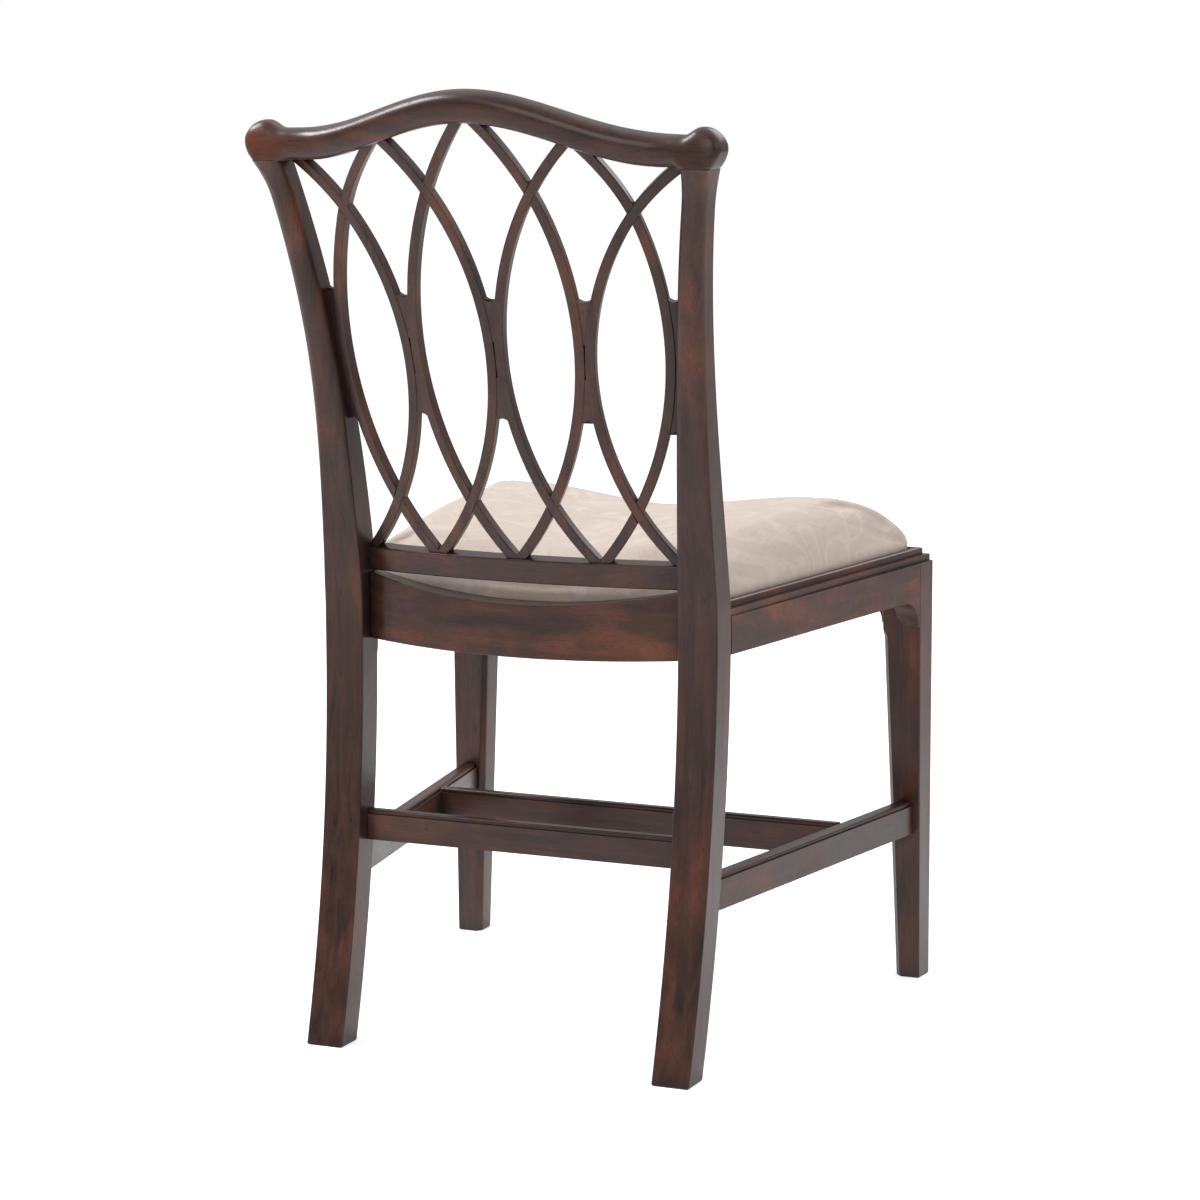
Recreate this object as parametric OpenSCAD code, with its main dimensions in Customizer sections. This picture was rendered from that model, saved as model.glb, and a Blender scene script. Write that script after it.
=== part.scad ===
// Trellis back side chair in mahogany with a loose upholstered seat.
// Millimetres, +Z up, the sitter faces -Y and the sitter's left is +X.
// The origin is on the floor, midway between the front face and the rearmost curve of the crest.
// Inside the modules y is first measured from the rear faces of the rear legs at the seat, then shifted once.

/* [Seat frame] */
// Height of the seat rails' top edge above the floor
frame_top_z = 464; // [430:1:490]
// Height of the front and side seat rails
rail_h = 39; // [32:1:50]
// Thickness of the front and side seat rails
rail_t = 26; // [22:1:30]
// Width over the outer faces of the front legs
front_w = 564; // [500:1:620]
// Width over the outer faces of the rear legs at the seat
rear_w = 439; // [400:1:470]
// Depth from the front legs' front faces to the rear legs' rear faces
seat_depth = 466; // [420:1:510]
// Radius of the bracket under a rail beside a front leg
bracket_r = 30; // [18:1:36]

/* [Rear seat rail] */
// Height of the rear seat rail's ends above its lower edge
rear_rail_h = 70; // [64:0.5:71]
// Distance of the rear seat rail's lower edge below the seat rails' top edge at its ends
rear_rail_drop = 45.5; // [42:0.5:54]
// Drop of the dished upper edge from the ends to the middle
dish_d = 19.5; // [10:0.5:22]
// Sag of the lower edge from the ends to the middle
rear_sag_d = 4.5; // [2:0.5:7]
// Radius of the rear seat rail's bowed rear face in plan
rear_bow_r = 620; // [560:5:900]
// Distance of the bowed rear face behind the rear legs' rear faces at the middle
rear_bow_y = 7; // [2:0.5:10]

/* [Front legs] */
// Width of a front leg's top
front_leg_w = 44.5; // [40:0.5:50]
// Depth of a front leg's top from front to rear
front_leg_d = 36; // [32:0.5:44]
// Side of a front leg's square foot
front_foot_w = 28; // [24:0.5:34]
// Chamfer along the inner rear arris of a front leg
front_chamfer = 6; // [3:0.5:8]

/* [Rear legs and stiles] */
// Width of a rear leg at the seat
leg_w = 43; // [38:0.5:46]
// Width of a rear leg at the floor
foot_w = 41; // [36:0.5:44]
// Depth of a rear leg from front to rear
leg_d = 38; // [34:0.5:42]
// Width over the outer faces of the rear legs at the floor
foot_span = 430; // [400:1:460]
// Backward sweep of the rear foot
foot_sweep = 64; // [40:1:80]
// Distance below the seat rails' top edge at which a rear leg stands furthest forward
knee_drop = 14; // [0:1:34]
// Backward rake of a stile over the height of the back
back_rake = 100; // [70:1:110]
// Height of the back above the knee over which the rake is measured
rake_h = 500; // [460:1:540]
// Width of a stile at its narrowest, near the crest
stile_w = 26.5; // [24:0.5:32]
// Depth of a stile under the crest
stile_d = 33; // [30:0.5:36]
// Outward flare of a stile from the seat to the crest
stile_flare = 40; // [25:1:45]
// Radius of a stile's rounded rear corners
stile_round = 12; // [6:0.5:13]
// Height of the joint between the stile and the crest above the seat rails' top edge
joint_h = 452; // [410:1:480]

/* [Crest rail] */
// Height of the crest's lowest top edge, beside the ears, above the joints with the stiles
crest_low_h = 32.5; // [30:0.5:38]
// Rise of the crest's top edge from there to the middle
crest_rise = 41; // [25:0.5:50]
// Height of the crest's section
crest_h = 31; // [28:0.5:36]
// Depth of the crest's section from front to rear
crest_d = 32; // [28:0.5:38]
// Distance from the tip of an ear to the crest's lowest point
crest_dip = 57; // [52:0.5:68]
// Distance of the crest's middle behind its ears
crest_bow = 34.6; // [28:0.2:42]
// Distance from the middle of a stile's top to the tip of its ear
ear_reach = 26.8; // [26:0.2:33]
// Height of an ear above the crest's lowest top edge
ear_rise = 8; // [4:0.5:12]
// Depth of an ear from front to rear
ear_d = 38.5; // [36:0.5:44]

/* [Trellis] */
// Width of a trellis bar
bar_w = 10.5; // [9:0.25:12]
// Thickness of a trellis bar from front to rear
bar_t = 11; // [10:0.5:14]
// Radius of the back's bow in plan
back_bow_r = 770; // [700:5:1200]
// Distance of the trellis's straight lean before the crest's middle
trellis_lag = 6; // [4:0.5:14]
// Extra curl of the trellis at its top
trellis_curl = 14; // [8:0.5:16]
// Distance of the outermost bars' middle line beyond the rear legs' inner faces
outer_bar_off = 4.5; // [2.5:0.1:5.5]
// Radius of the bars beside the stiles
outer_arc_r = 351; // [344:1:360]
// Radius of the bars that face them in the outer ellipses
outer_facing_r = 274; // [270:1:280]
// Radius of the inner ellipses' outward bars
inner_arc_r = 342; // [336:1:350]
// Radius of the bars that meet on the middle line
middle_arc_r = 302.5; // [296:0.5:309]
// Distance from the touching bars' middle height to the end of a spacer
spacer_reach = 62; // [50:1:66]

/* [Lower back rail] */
// Height of the lower back rail's lower edge above the seat rails' top edge
lower_rail_rise = 26; // [26:0.5:29]
// Height of the lower back rail
lower_rail_h = 25; // [23:0.5:27]
// Thickness of the lower back rail
lower_rail_t = 17; // [15:0.5:18]

/* [Stretchers] */
// Height of the side stretchers' lower edges above the floor
side_stretcher_z = 164; // [140:0.5:200]
// Height of the side and cross stretchers
stretcher_h = 35.5; // [32:0.5:44]
// Thickness of the stretchers
stretcher_t = 20; // [16:0.5:22]
// Height of the rear stretcher's lower edge above the floor
rear_stretcher_z = 208; // [204:0.5:250]
// Height of the rear stretcher
rear_stretcher_h = 31.5; // [28:0.5:40]
// Distance of the cross stretcher's rear face before the rear legs' rear faces at the seat
cross_stretcher_y = 296.5; // [200:0.5:340]

/* [Seat edge moulding] */
// Width of the moulding on top of the seat rails
mould_w = 13; // [11:0.5:15]
// Height of the moulding's lower step
mould_step_h = 7; // [5:0.25:9]
// Height of the moulding's upper bead
mould_bead_h = 7.4; // [6:0.1:10]
// Inset of the upper bead from the lower step's edge
mould_bead_inset = 5.5; // [4:0.25:6.5]

/* [Loose seat] */
// Gap between the moulding and the seat cover
seat_gap = 1.2; // [0.8:0.1:2]
// Thickness of the wooden seat frame
seat_frame_t = 16; // [14:0.5:20]
// Width of the seat frame's rails
seat_frame_w = 48; // [40:1:56]
// Height of the seat's middle above the seat rails' top edge
seat_crown_h = 56; // [46:1:66]
// Height of the cushion's shoulders above the middle of the saddle
saddle_h = 13; // [6:0.5:18]
// Distance over which the cushion's edge rounds over
cushion_round = 58; // [45:1:70]
// Thickness of the damask with its wadding
cover_t = 1.6; // [1.2:0.1:2.4]

/* [Hidden] */

// Colours of the woods, metal and cloths
wood_dark = [0.25, 0.15, 0.12];
wood_mid = [0.35, 0.22, 0.17];
wood_red = [0.42, 0.24, 0.17];
block_wood = [0.66, 0.52, 0.36];
screw_metal = [0.62, 0.58, 0.50];
damask = [0.87, 0.81, 0.76];
jute = [0.68, 0.56, 0.40];
foam_cream = [0.93, 0.89, 0.76];
cambric = [0.12, 0.12, 0.12];

// Fits shared by all the joints
fit = 0.15;          // clearance on each side of a tenon, a bar's housing or a screw
end_gap = 1;         // air beyond the end of a tenon
ease = 1.2;          // eased arris of the visible pieces
over = 2;            // overrun of a cut past the face that it opens
tiny = 0.001;        // keeps a divisor off zero

// Places of the frame, from the rear faces of the rear legs at the seat
front_y = -seat_depth;
leg_front_y = -leg_d;
front_leg_rear_y = front_y + front_leg_d;
rail_z = frame_top_z - rail_h;
splay = (front_w - rear_w) / 2 / (leg_front_y - front_leg_rear_y);
splay_angle = atan(splay);
splay_scale = 1 / cos(splay_angle);
front_leg_in_x = front_w / 2 - front_leg_w;
rear_leg_in_x = rear_w / 2 - leg_w;
mould_h = mould_step_h + mould_bead_h;
rear_rail_z = frame_top_z - rear_rail_drop;
knee_z = frame_top_z - knee_drop;
joint_z = frame_top_z + joint_h;
crest_low_z = joint_z + crest_low_h;
lower_rail_z = frame_top_z + lower_rail_rise;
lower_top_z = lower_rail_z + lower_rail_h;
open_h = crest_low_z - lower_top_z;

// Height where the trellis stands level with the rear legs' rear faces, and the height of its lean above it
trellis_foot = 15;                 // above the lower back rail's lower edge
trellis_head = 11.5;               // above the crest's lowest top edge
trellis_z0 = lower_rail_z + trellis_foot;
trellis_h = crest_low_z + trellis_head - trellis_z0;
trellis_y0 = -2;
curl_power = 9;
rear_power = 1.52;
foot_power = 2.1;
slope_step = 1;                    // a slope is taken over this distance to both sides

module in_place() { translate([0, y_shift, 0]) children(); }
module right_of() { mirror([1, 0, 0]) children(); }

function lerp(a, b, t) = a + (b - a) * t;
function clamp(v, lo, hi) = max(lo, min(hi, v));
function smooth(t) = let (c = clamp(t, 0, 1)) c * c * (3 - 2 * c);
function range_share(v, a, b) = clamp((v - a) / (b - a), 0, 1);

// Mean of a ring's points
function middle_of(ring) = [for (p = ring) 1 / len(ring)] * ring;
// Solid between rings of points, each ring counter-clockwise seen from the last ring
module skin(rings) {
    n = len(rings[0]);
    m = len(rings);
    points = concat([for (r = rings) for (p = r) p], [middle_of(rings[0]), middle_of(rings[m - 1])]);
    // Each four-sided patch is split along its shorter diagonal, so that mirrored rings give mirrored solids
    sides = [for (i = [0 : m - 2]) for (j = [0 : n - 1]) let (a = i * n + j, b = i * n + (j + 1) % n)
        each (norm(points[a] - points[b + n]) < norm(points[b] - points[a + n]) - tiny
            ? [[a, a + n, b + n], [a, b + n, b]] : [[a, a + n, b], [b, a + n, b + n]])];
    first_cap = [for (j = [0 : n - 1]) [m * n, j, (j + 1) % n]];
    last_cap = [for (j = [0 : n - 1]) [m * n + 1, (m - 1) * n + (j + 1) % n, (m - 1) * n + j]];
    polyhedron(points, concat(first_cap, sides, last_cap), convexity = 6);
}

// Block given by its lowest and highest corners
module block(lo, hi) { translate(lo) cube(hi - lo); }

// Rear leg and stile
// Rear face of the leg at a height: a sabre sweep below the knee and a growing rake above it
function leg_rear(z) = z < knee_z
    ? foot_sweep * pow((knee_z - z) / knee_z, foot_power)
    : back_rake * pow((z - knee_z) / rake_h, rear_power);

stile_start = 16;              // above the rails, where the stile starts to narrow
stile_end = 36;                // below the crest's joint, where it reaches its least width
stile_z0 = frame_top_z + stile_start;
stile_z1 = joint_z - stile_end;
flare_share = 1.078;           // height over which the stile flares outwards, as a share of its own
stile_span = flare_share * (joint_z - stile_z0);
taper_power = 1.6;
flare_power = 2.9;
round_start_share = 0.0917;    // of the stile's height, where the rear corners start to round
round_end_share = 0.6193;      // and where they are fully round
round_z0 = lerp(stile_z0, joint_z, round_start_share);
round_z1 = lerp(stile_z0, joint_z, round_end_share);
tongue_drop = 28;              // from the rails down to the lamb's tongue that stops the leg's chamfer
tongue_z = rail_z - tongue_drop;
tongue_h = 12;
inner_chamfer = 4;
head_h = 38;                   // over this height below its joint a stile swells out into the ear
head_out = 3.5;                // outwards
head_back = 5;                 // and backwards
head_power = 2;
head_round = 7;                // radius of its rear corners at the joint
head_arris = 5;                // cut of its outer front corner at the joint

function head_share(z) = pow(range_share(z, joint_z - head_h, joint_z), head_power);
function leg_width(z) = z < stile_z0
    ? lerp(foot_w, leg_w, range_share(z, 0, rail_z))
    : stile_w + (leg_w - stile_w) * pow(1 - range_share(z, stile_z0, stile_z1), taper_power);
function leg_centre(z) =
    lerp(foot_span / 2 - foot_w / 2, rear_w / 2 - leg_w / 2, range_share(z, 0, rail_z))
    + stile_flare * pow(max(0, (z - stile_z0) / stile_span), flare_power);
function leg_depth(z) = lerp(leg_d, stile_d, range_share(z, stile_z0, stile_z1));
function rear_round(z) = lerp(ease, stile_round, smooth(range_share(z, round_z0, round_z1)));
function front_cut(z) = lerp(inner_chamfer, ease, smooth(range_share(z, tongue_z, tongue_z + tongue_h)));

corner_steps = 4;
// Section of the leg at a height, counter-clockwise from above, rear corners rounded
function leg_ring(z) =
    let (w = leg_width(z), r = lerp(min(rear_round(z), w / 2 - ease), head_round, head_share(z)),
        c = front_cut(z), f = lerp(ease, head_arris, head_share(z)),
        x0 = leg_centre(z) - w / 2, x1 = x0 + w + head_out * head_share(z),
        y0 = leg_rear(z) - leg_depth(z), y1 = leg_rear(z) + head_back * head_share(z))
    concat(
        [[x0, y0 + c, z], [x0 + c, y0, z], [x1 - f, y0, z], [x1, y0 + f, z]],
        [for (k = [0 : corner_steps]) let (a = 90 * k / corner_steps)
            [x1 - r + r * cos(a), y1 - r + r * sin(a), z]],
        [for (k = [0 : corner_steps]) let (a = 90 + 90 * k / corner_steps)
            [x0 + r + r * cos(a), y1 - r + r * sin(a), z]]);

leg_steps = 13;
stile_steps = 22;
head_shares = [0.8, 0.6, 0.4, 0.2];
leg_heights = concat(
    [for (k = [0 : leg_steps - 1]) tongue_z * k / leg_steps],
    [tongue_z, tongue_z + tongue_h, rail_z, frame_top_z],
    [for (k = [0 : stile_steps]) let (z = lerp(stile_z0, joint_z - head_h, k / stile_steps)) z],
    [for (share = head_shares) joint_z - head_h * share],
    [joint_z]);

// Tenons, each drawn at its nominal size and grown by the fit for its mortise
rear_tenon_l = 20;
rear_tenon_t = 10;
side_tenon_l = 22;
side_tenon_t = 10;
side_tenon_inset = 7;      // from the rail's outer face to the tenon
tenon_shoulder = 5;        // wood left above and below a rail's tenon
lower_tenon_l = 14;
lower_tenon_t = 8;
lower_tenon_shoulder = 4;
stretcher_tenon_l = 16;
stretcher_tenon_t = 9;
stretcher_shoulder = 7;
stile_tenon_w = 13;
stile_tenon_d = 14;
stile_tenon_h = 24;
front_tenon_l = 22;
front_tenon_t = 10;
front_tenon_inset = 6;

// x of the line of a side rail's outer face moved inwards, at a y
function side_x(y, inset) = rear_w / 2 + (leg_front_y - y) * splay - inset * splay_scale;

// Strip in plan along a side rail, between two insets and two y values
module side_strip(inset_out, inset_in, y_rear, y_front, z_lo, z_hi) {
    translate([0, 0, z_lo]) linear_extrude(z_hi - z_lo) polygon([
        [side_x(y_rear, inset_in), y_rear], [side_x(y_front, inset_in), y_front],
        [side_x(y_front, inset_out), y_front], [side_x(y_rear, inset_out), y_rear]]);
}

// Plan bow of the rear seat rail's rear face
function rear_bow(x) = rear_bow_r - sqrt(rear_bow_r * rear_bow_r - x * x);
rear_rail_end_y = rear_bow_y - rear_bow(rear_leg_in_x);
module rear_rail_tenon(grow) {
    y_mid = (leg_front_y + rear_rail_end_y) / 2;
    block([rear_leg_in_x - over, y_mid - rear_tenon_t / 2 - grow, rail_z + tenon_shoulder - grow],
        [rear_leg_in_x + rear_tenon_l + (grow > 0 ? end_gap : 0), y_mid + rear_tenon_t / 2 + grow,
            frame_top_z - tenon_shoulder + grow]);
}
module side_rail_tenon(y_face, y_sign, grow) {
    deep = side_tenon_l + (grow > 0 ? end_gap : 0);
    side_strip(side_tenon_inset - grow, side_tenon_inset + side_tenon_t + grow,
        y_face + (y_sign > 0 ? deep : over), y_face - (y_sign > 0 ? over : deep),
        rail_z + tenon_shoulder - grow, frame_top_z - tenon_shoulder + grow);
}
module front_rail_tenon(grow) {
    block([front_leg_in_x - over, front_y + front_tenon_inset - grow, rail_z + tenon_shoulder - grow],
        [front_leg_in_x + front_tenon_l + (grow > 0 ? end_gap : 0),
            front_y + front_tenon_inset + front_tenon_t + grow, frame_top_z - tenon_shoulder + grow]);
}

// The lower back rail and the trellis follow one surface, raked in profile and bowed in plan
// The ears stand over the stiles, and the crest's middle stands behind them
stile_top_x = leg_centre(joint_z);
stile_top_y = leg_rear(joint_z) - leg_depth(joint_z) / 2;
ear_back = 2;                  // from a stile's middle to its ear's, from front to rear
ear_y = stile_top_y + ear_back;
crest_y = ear_y + crest_bow;
trellis_lean = crest_y - trellis_lag;
function trellis_profile(z) =
    let (u = (z - trellis_z0) / trellis_h)
    trellis_y0 + trellis_lean * u + trellis_curl * pow(max(0, u), curl_power);
function trellis_slope(z) =
    (trellis_profile(z + slope_step) - trellis_profile(z - slope_step)) / (2 * slope_step);
function back_bow(x) = back_bow_r - sqrt(back_bow_r * back_bow_r - x * x);
function trellis_y(x, z) = trellis_profile(z) - back_bow(x);
// Unit normal of the surface, pointing to the rear
function trellis_normal(x, z) =
    let (n = [x / sqrt(back_bow_r * back_bow_r - x * x), 1, -trellis_slope(z)]) n / norm(n);
// Point on the surface, moved forwards by a depth
function on_trellis(x, z, depth) = [x, trellis_y(x, z), z] - depth * trellis_normal(x, z);

lower_rail_proud = 3;      // the rail stands behind the bars
lower_rail_steps = 20;
lower_mid_z = lower_rail_z + lower_rail_h / 2;
lower_rail_sink = 1.5;         // depth of the rail's seat in a stile
lower_rail_end = rear_leg_in_x + lower_rail_sink;
// Rail section at an x, counter-clockwise seen from +X; inset makes the tenon
function lower_ring(x, inset_z, depth_a, depth_b) =
    let (za = lower_rail_z + inset_z, zb = lower_rail_z + lower_rail_h - inset_z)
    [on_trellis(x, za, depth_a), on_trellis(x, zb, depth_a),
        on_trellis(x, zb, depth_b), on_trellis(x, za, depth_b)];
module lower_rail_body() {
    skin([for (k = [0 : lower_rail_steps])
        lower_ring(lerp(-lower_rail_end, lower_rail_end, k / lower_rail_steps), 0, -lower_rail_proud,
            lower_rail_t - lower_rail_proud)]);
}
module lower_rail_tenon(grow) {
    depth_a = (lower_rail_t - lower_tenon_t) / 2 - lower_rail_proud;
    skin([for (x = [lower_rail_end - over, lower_rail_end + lower_tenon_l + (grow > 0 ? end_gap : 0)])
        lower_ring(x, lower_tenon_shoulder - grow, depth_a - grow, depth_a + lower_tenon_t + grow)]);
}
// The stile is cut back where the lower rail's end meets it
module lower_rail_seat() {
    skin([for (x = [lower_rail_end - leg_w / 2, lower_rail_end + fit])
        lower_ring(x, -fit, -lower_rail_proud - fit, lower_rail_t - lower_rail_proud + fit + over)]);
}

// Stretchers: the side ones run from the rear legs' front faces to the front legs' rear faces
side_stretcher_mid_z = side_stretcher_z + stretcher_h / 2;
stretcher_rear_y = leg_rear(side_stretcher_mid_z) - leg_d;
stretcher_front_y = front_y + lerp(front_foot_w, front_leg_d, side_stretcher_mid_z / rail_z);
stretcher_rear_inset = 6;    // from the rear leg's outer face
stretcher_front_inset = 7;     // from the front leg's outer face
stretcher_rear_x = leg_centre(side_stretcher_mid_z) + leg_width(side_stretcher_mid_z) / 2
    - stretcher_rear_inset;
stretcher_front_x = front_w / 2 - stretcher_front_inset;
stretcher_splay = (stretcher_front_x - stretcher_rear_x) / (stretcher_rear_y - stretcher_front_y);
stretcher_angle = atan(stretcher_splay);
stretcher_bead_h = 4.5;
stretcher_bead_step = 2.5;
stretcher_bead_r = 2.4;
function stretcher_x(y, inset) =
    stretcher_rear_x + (stretcher_rear_y - y) * stretcher_splay - inset / cos(stretcher_angle);

// Section of a stretcher: a plain fascia under a narrower, round-edged bead
module stretcher_section(t, h) {
    translate([-t, 0]) square([t, h - stretcher_bead_h]);
    difference() {
        translate([-t + stretcher_bead_step, 0]) square([t - 2 * stretcher_bead_step, h]);
        for (side = [0, 1]) translate([side ? -stretcher_bead_step : -t + stretcher_bead_step, h])
            mirror([side, 0]) difference() {
                translate([-over, -stretcher_bead_r])
                    square([over + stretcher_bead_r, stretcher_bead_r + over]);
                translate([stretcher_bead_r, -stretcher_bead_r]) circle(stretcher_bead_r, $fn = 32);
            }
    }
}
stretcher_run = seat_depth;
// Long side stretcher blank, later cut to the legs; its outer face lies on the stretcher line
module side_stretcher_blank() {
    translate([stretcher_x(stretcher_rear_y, 0), stretcher_rear_y, side_stretcher_z])
        rotate([0, 0, stretcher_angle]) translate([0, stretcher_run / 4, 0]) rotate([90, 0, 0])
            linear_extrude(stretcher_run * 3 / 2) stretcher_section(stretcher_t, stretcher_h);
}
module side_stretcher_tenon(front, grow) {
    y_face = front ? stretcher_front_y : stretcher_rear_y;
    deep = stretcher_tenon_l + (grow > 0 ? end_gap : 0);
    y_a = front ? y_face + over : y_face + deep;
    y_b = front ? y_face - deep : y_face - over;
    inset_a = (stretcher_t - stretcher_tenon_t) / 2 - grow;
    inset_b = inset_a + stretcher_tenon_t + 2 * grow;
    translate([0, 0, side_stretcher_z + stretcher_shoulder - grow])
        linear_extrude(stretcher_h - 2 * stretcher_shoulder - stretcher_bead_h + 2 * grow) polygon([
            [stretcher_x(y_a, inset_b), y_a], [stretcher_x(y_b, inset_b), y_b],
            [stretcher_x(y_b, inset_a), y_b], [stretcher_x(y_a, inset_a), y_a]]);
}
rear_stretcher_t = 17;
rear_stretcher_back = 2.5;        // from the leg's front face to the stretcher's
rear_stretcher_rear_y = leg_rear(rear_stretcher_z + rear_stretcher_h / 2) - leg_d
    + rear_stretcher_t + rear_stretcher_back;
rear_stretcher_end_x = leg_centre(rear_stretcher_z) - leg_width(rear_stretcher_z) / 2;
module rear_stretcher_tenon(grow) {
    y_mid = rear_stretcher_rear_y - rear_stretcher_t / 2;
    half_t = stretcher_tenon_t / 2 + grow;
    block([rear_stretcher_end_x - over, y_mid - half_t, rear_stretcher_z + stretcher_shoulder - grow],
        [rear_stretcher_end_x + stretcher_tenon_l + (grow > 0 ? end_gap : 0), y_mid + half_t,
            rear_stretcher_z + rear_stretcher_h - stretcher_bead_h - stretcher_shoulder + grow]);
}

module rear_leg() {
    color(wood_mid) in_place() {
        difference() {
            skin([for (z = leg_heights) leg_ring(z)]);
            rear_rail_tenon(fit);
            side_rail_tenon(leg_front_y, 1, fit);
            lower_rail_seat();
            lower_rail_tenon(fit);
            side_stretcher_tenon(false, fit);
            rear_stretcher_tenon(fit);
        }
        stile_tenon(0);
    }
}
module stile_tenon(grow) {
    half_w = stile_tenon_w / 2 + grow;
    half_d = stile_tenon_d / 2 + grow;
    block([stile_top_x - half_w, stile_top_y - half_d, joint_z - over],
        [stile_top_x + half_w, stile_top_y + half_d, joint_z + stile_tenon_h + (grow > 0 ? end_gap : 0)]);
}
module rear_leg_left() { rear_leg(); }
module rear_leg_right() { right_of() rear_leg(); }

// Front leg: square above, tapered below on the two inner faces, with a stopped chamfer between them
front_tongue_drop = 16;        // from the bracket down to the stop of the chamfer
front_tongue_z = rail_z - bracket_r - front_tongue_drop;
function front_side(z) = lerp(front_foot_w, front_leg_w, range_share(z, 0, rail_z));
function front_depth(z) = lerp(front_foot_w, front_leg_d, range_share(z, 0, rail_z));
function front_leg_ring(z) =
    let (x0 = front_w / 2 - front_side(z), x1 = front_w / 2, y0 = front_y, y1 = front_y + front_depth(z),
        c = lerp(front_chamfer, ease, smooth(range_share(z, front_tongue_z, front_tongue_z + tongue_h))))
    [[x0, y0 + ease, z], [x0 + ease, y0, z], [x1 - ease, y0, z], [x1, y0 + ease, z],
        [x1, y1 - ease, z], [x1 - ease, y1, z], [x0 + c, y1, z], [x0, y1 - c, z]];
front_leg_heights = [0, front_tongue_z / 2, front_tongue_z, front_tongue_z + tongue_h / 2,
    front_tongue_z + tongue_h, rail_z, frame_top_z];
module front_leg() {
    color(wood_dark) in_place() difference() {
        skin([for (z = front_leg_heights) front_leg_ring(z)]);
        front_rail_tenon(fit);
        side_rail_tenon(front_leg_rear_y, -1, fit);
        side_stretcher_tenon(true, fit);
    }
}
module front_leg_left() { front_leg(); }
module front_leg_right() { right_of() front_leg(); }

// Crest rail with its two ears, one sweep from ear to ear
crest_steps_mid = 28;
crest_steps_ear = 10;
crest_points = 18;
crest_lean = 15;               // degrees that the section leans back
crest_square_power = 2.7;      // roundness of the section, 2 is an ellipse
ear_square_power = 4.5;        // the lower half of an ear is squarer
ear_x = stile_top_x + ear_reach;
crest_dip_x = ear_x - crest_dip;
ear_l = 45.4;                  // from an ear's tip to where it grows out of the crest
ear_cap = 21;                  // from an ear's tip to where its top is highest
ear_neck = 12;                 // from the joint down to the ear's underside before it is cut to the stile
ear_in_x = ear_x - ear_l;
ear_top_x = ear_x - ear_cap;
ear_neck_z = joint_z - ear_neck;
ear_blend_in = 6;              // the underside changes to the ear's between these two sides of ear_in_x
ear_blend_out = 16;
ear_flush_in = 50;             // inside ear_in_x, where the crest starts to come flush with the ear
ear_top_in = 5;                // and the top edge between these two distances outside it
ear_top_out = 23.5;
ear_lead = 8;                  // from ear_in_x to the first of the ear's close stations
function crest_top(x) = crest_low_z + crest_rise * (1 + cos(180 * clamp(abs(x) / crest_dip_x, 0, 1))) / 2;
// Shares of the way from the crest's plain section to the ear: the underside's, then the faces'
function ear_share(x) = smooth(range_share(abs(x), ear_in_x - ear_blend_in, ear_in_x + ear_blend_out));
function flush_share(x) = smooth(range_share(abs(x), ear_in_x - ear_flush_in, ear_in_x + ear_blend_out));
function ear_top_share(x) = smooth(range_share(abs(x), ear_in_x + ear_top_in, ear_in_x + ear_top_out));
// The ear closes like a dome between its crown and its tip
function dome(x) = let (u = range_share(abs(x), ear_top_x, ear_x)) sqrt(max(tiny, 1 - u * u));
ear_tip_h = 18;                // height of the ear's tip above the joint
ear_tip_z = joint_z + ear_tip_h;
ear_round_power = 0.4;
ear_tip_share = 0.06;          // size left at the blunt tip
function ear_dome(x) = max(ear_tip_share, dome(x));
function section_top(x) =
    lerp(crest_top(x), lerp(ear_tip_z, crest_low_z + ear_rise, ear_dome(x)), ear_top_share(x));
// Outside the stile the ear's underside rises in a hollow curve to its tip
ear_rise_x = stile_top_x + stile_w / 2 + head_out;
ear_rise_power = 1.5;
ear_neck_power = 3;
function ear_bottom(x) = abs(x) < ear_rise_x
    ? lerp(ear_neck_z, joint_z, pow(range_share(abs(x), ear_rise_x - tongue_h, ear_rise_x), ear_neck_power))
    : lerp(joint_z, ear_tip_z,
        pow(range_share(abs(x), ear_rise_x, ear_x), ear_rise_power) * (1 - ear_tip_share));
function section_bottom(x) = lerp(crest_top(x) - crest_h, ear_bottom(x), ear_share(x));
function section_depth(x) = lerp(crest_d, ear_d * pow(ear_dome(x), ear_round_power), flush_share(x));
// The crest leans back with the trellis, so it stands further back where it is higher
crest_roll = 0.3;
function section_y(x) =
    lerp(crest_y - back_bow(x) - crest_roll * (crest_low_z + crest_rise - crest_top(x)), ear_y,
        flush_share(x));
function power_wave(c, p) = sign(c) * pow(abs(c), 2 / p);
function crest_ring(x) =
    let (zt = section_top(x), zb = section_bottom(x), zc = (zt + zb) / 2, hz = (zt - zb) / 2,
        hy = section_depth(x) / 2, y = section_y(x), lean = lerp(crest_lean, 0, flush_share(x)),
        low_power = lerp(crest_square_power, ear_square_power, ear_share(x)))
    [for (k = [0 : crest_points - 1]) let (a = 360 * (k + 0.5) / crest_points,
        power = sin(a) < 0 ? low_power : crest_square_power,
        p = hy * power_wave(cos(a), power), q = hz * power_wave(sin(a), power))
        [x, y + p + q * sin(lean), zc + q - p * sin(lean)]];
crest_half = concat(
    [for (k = [0 : crest_steps_mid / 2 - 1]) lerp(0, ear_in_x - ear_lead, k / (crest_steps_mid / 2))],
    [for (k = [0 : crest_steps_ear]) let (u = k / crest_steps_ear)
        lerp(ear_in_x - ear_lead, ear_x, 1 - pow(1 - u, 3 / 2))]);
crest_stations = concat([for (k = [len(crest_half) - 1 : -1 : 1]) -crest_half[k]], crest_half);
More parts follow.
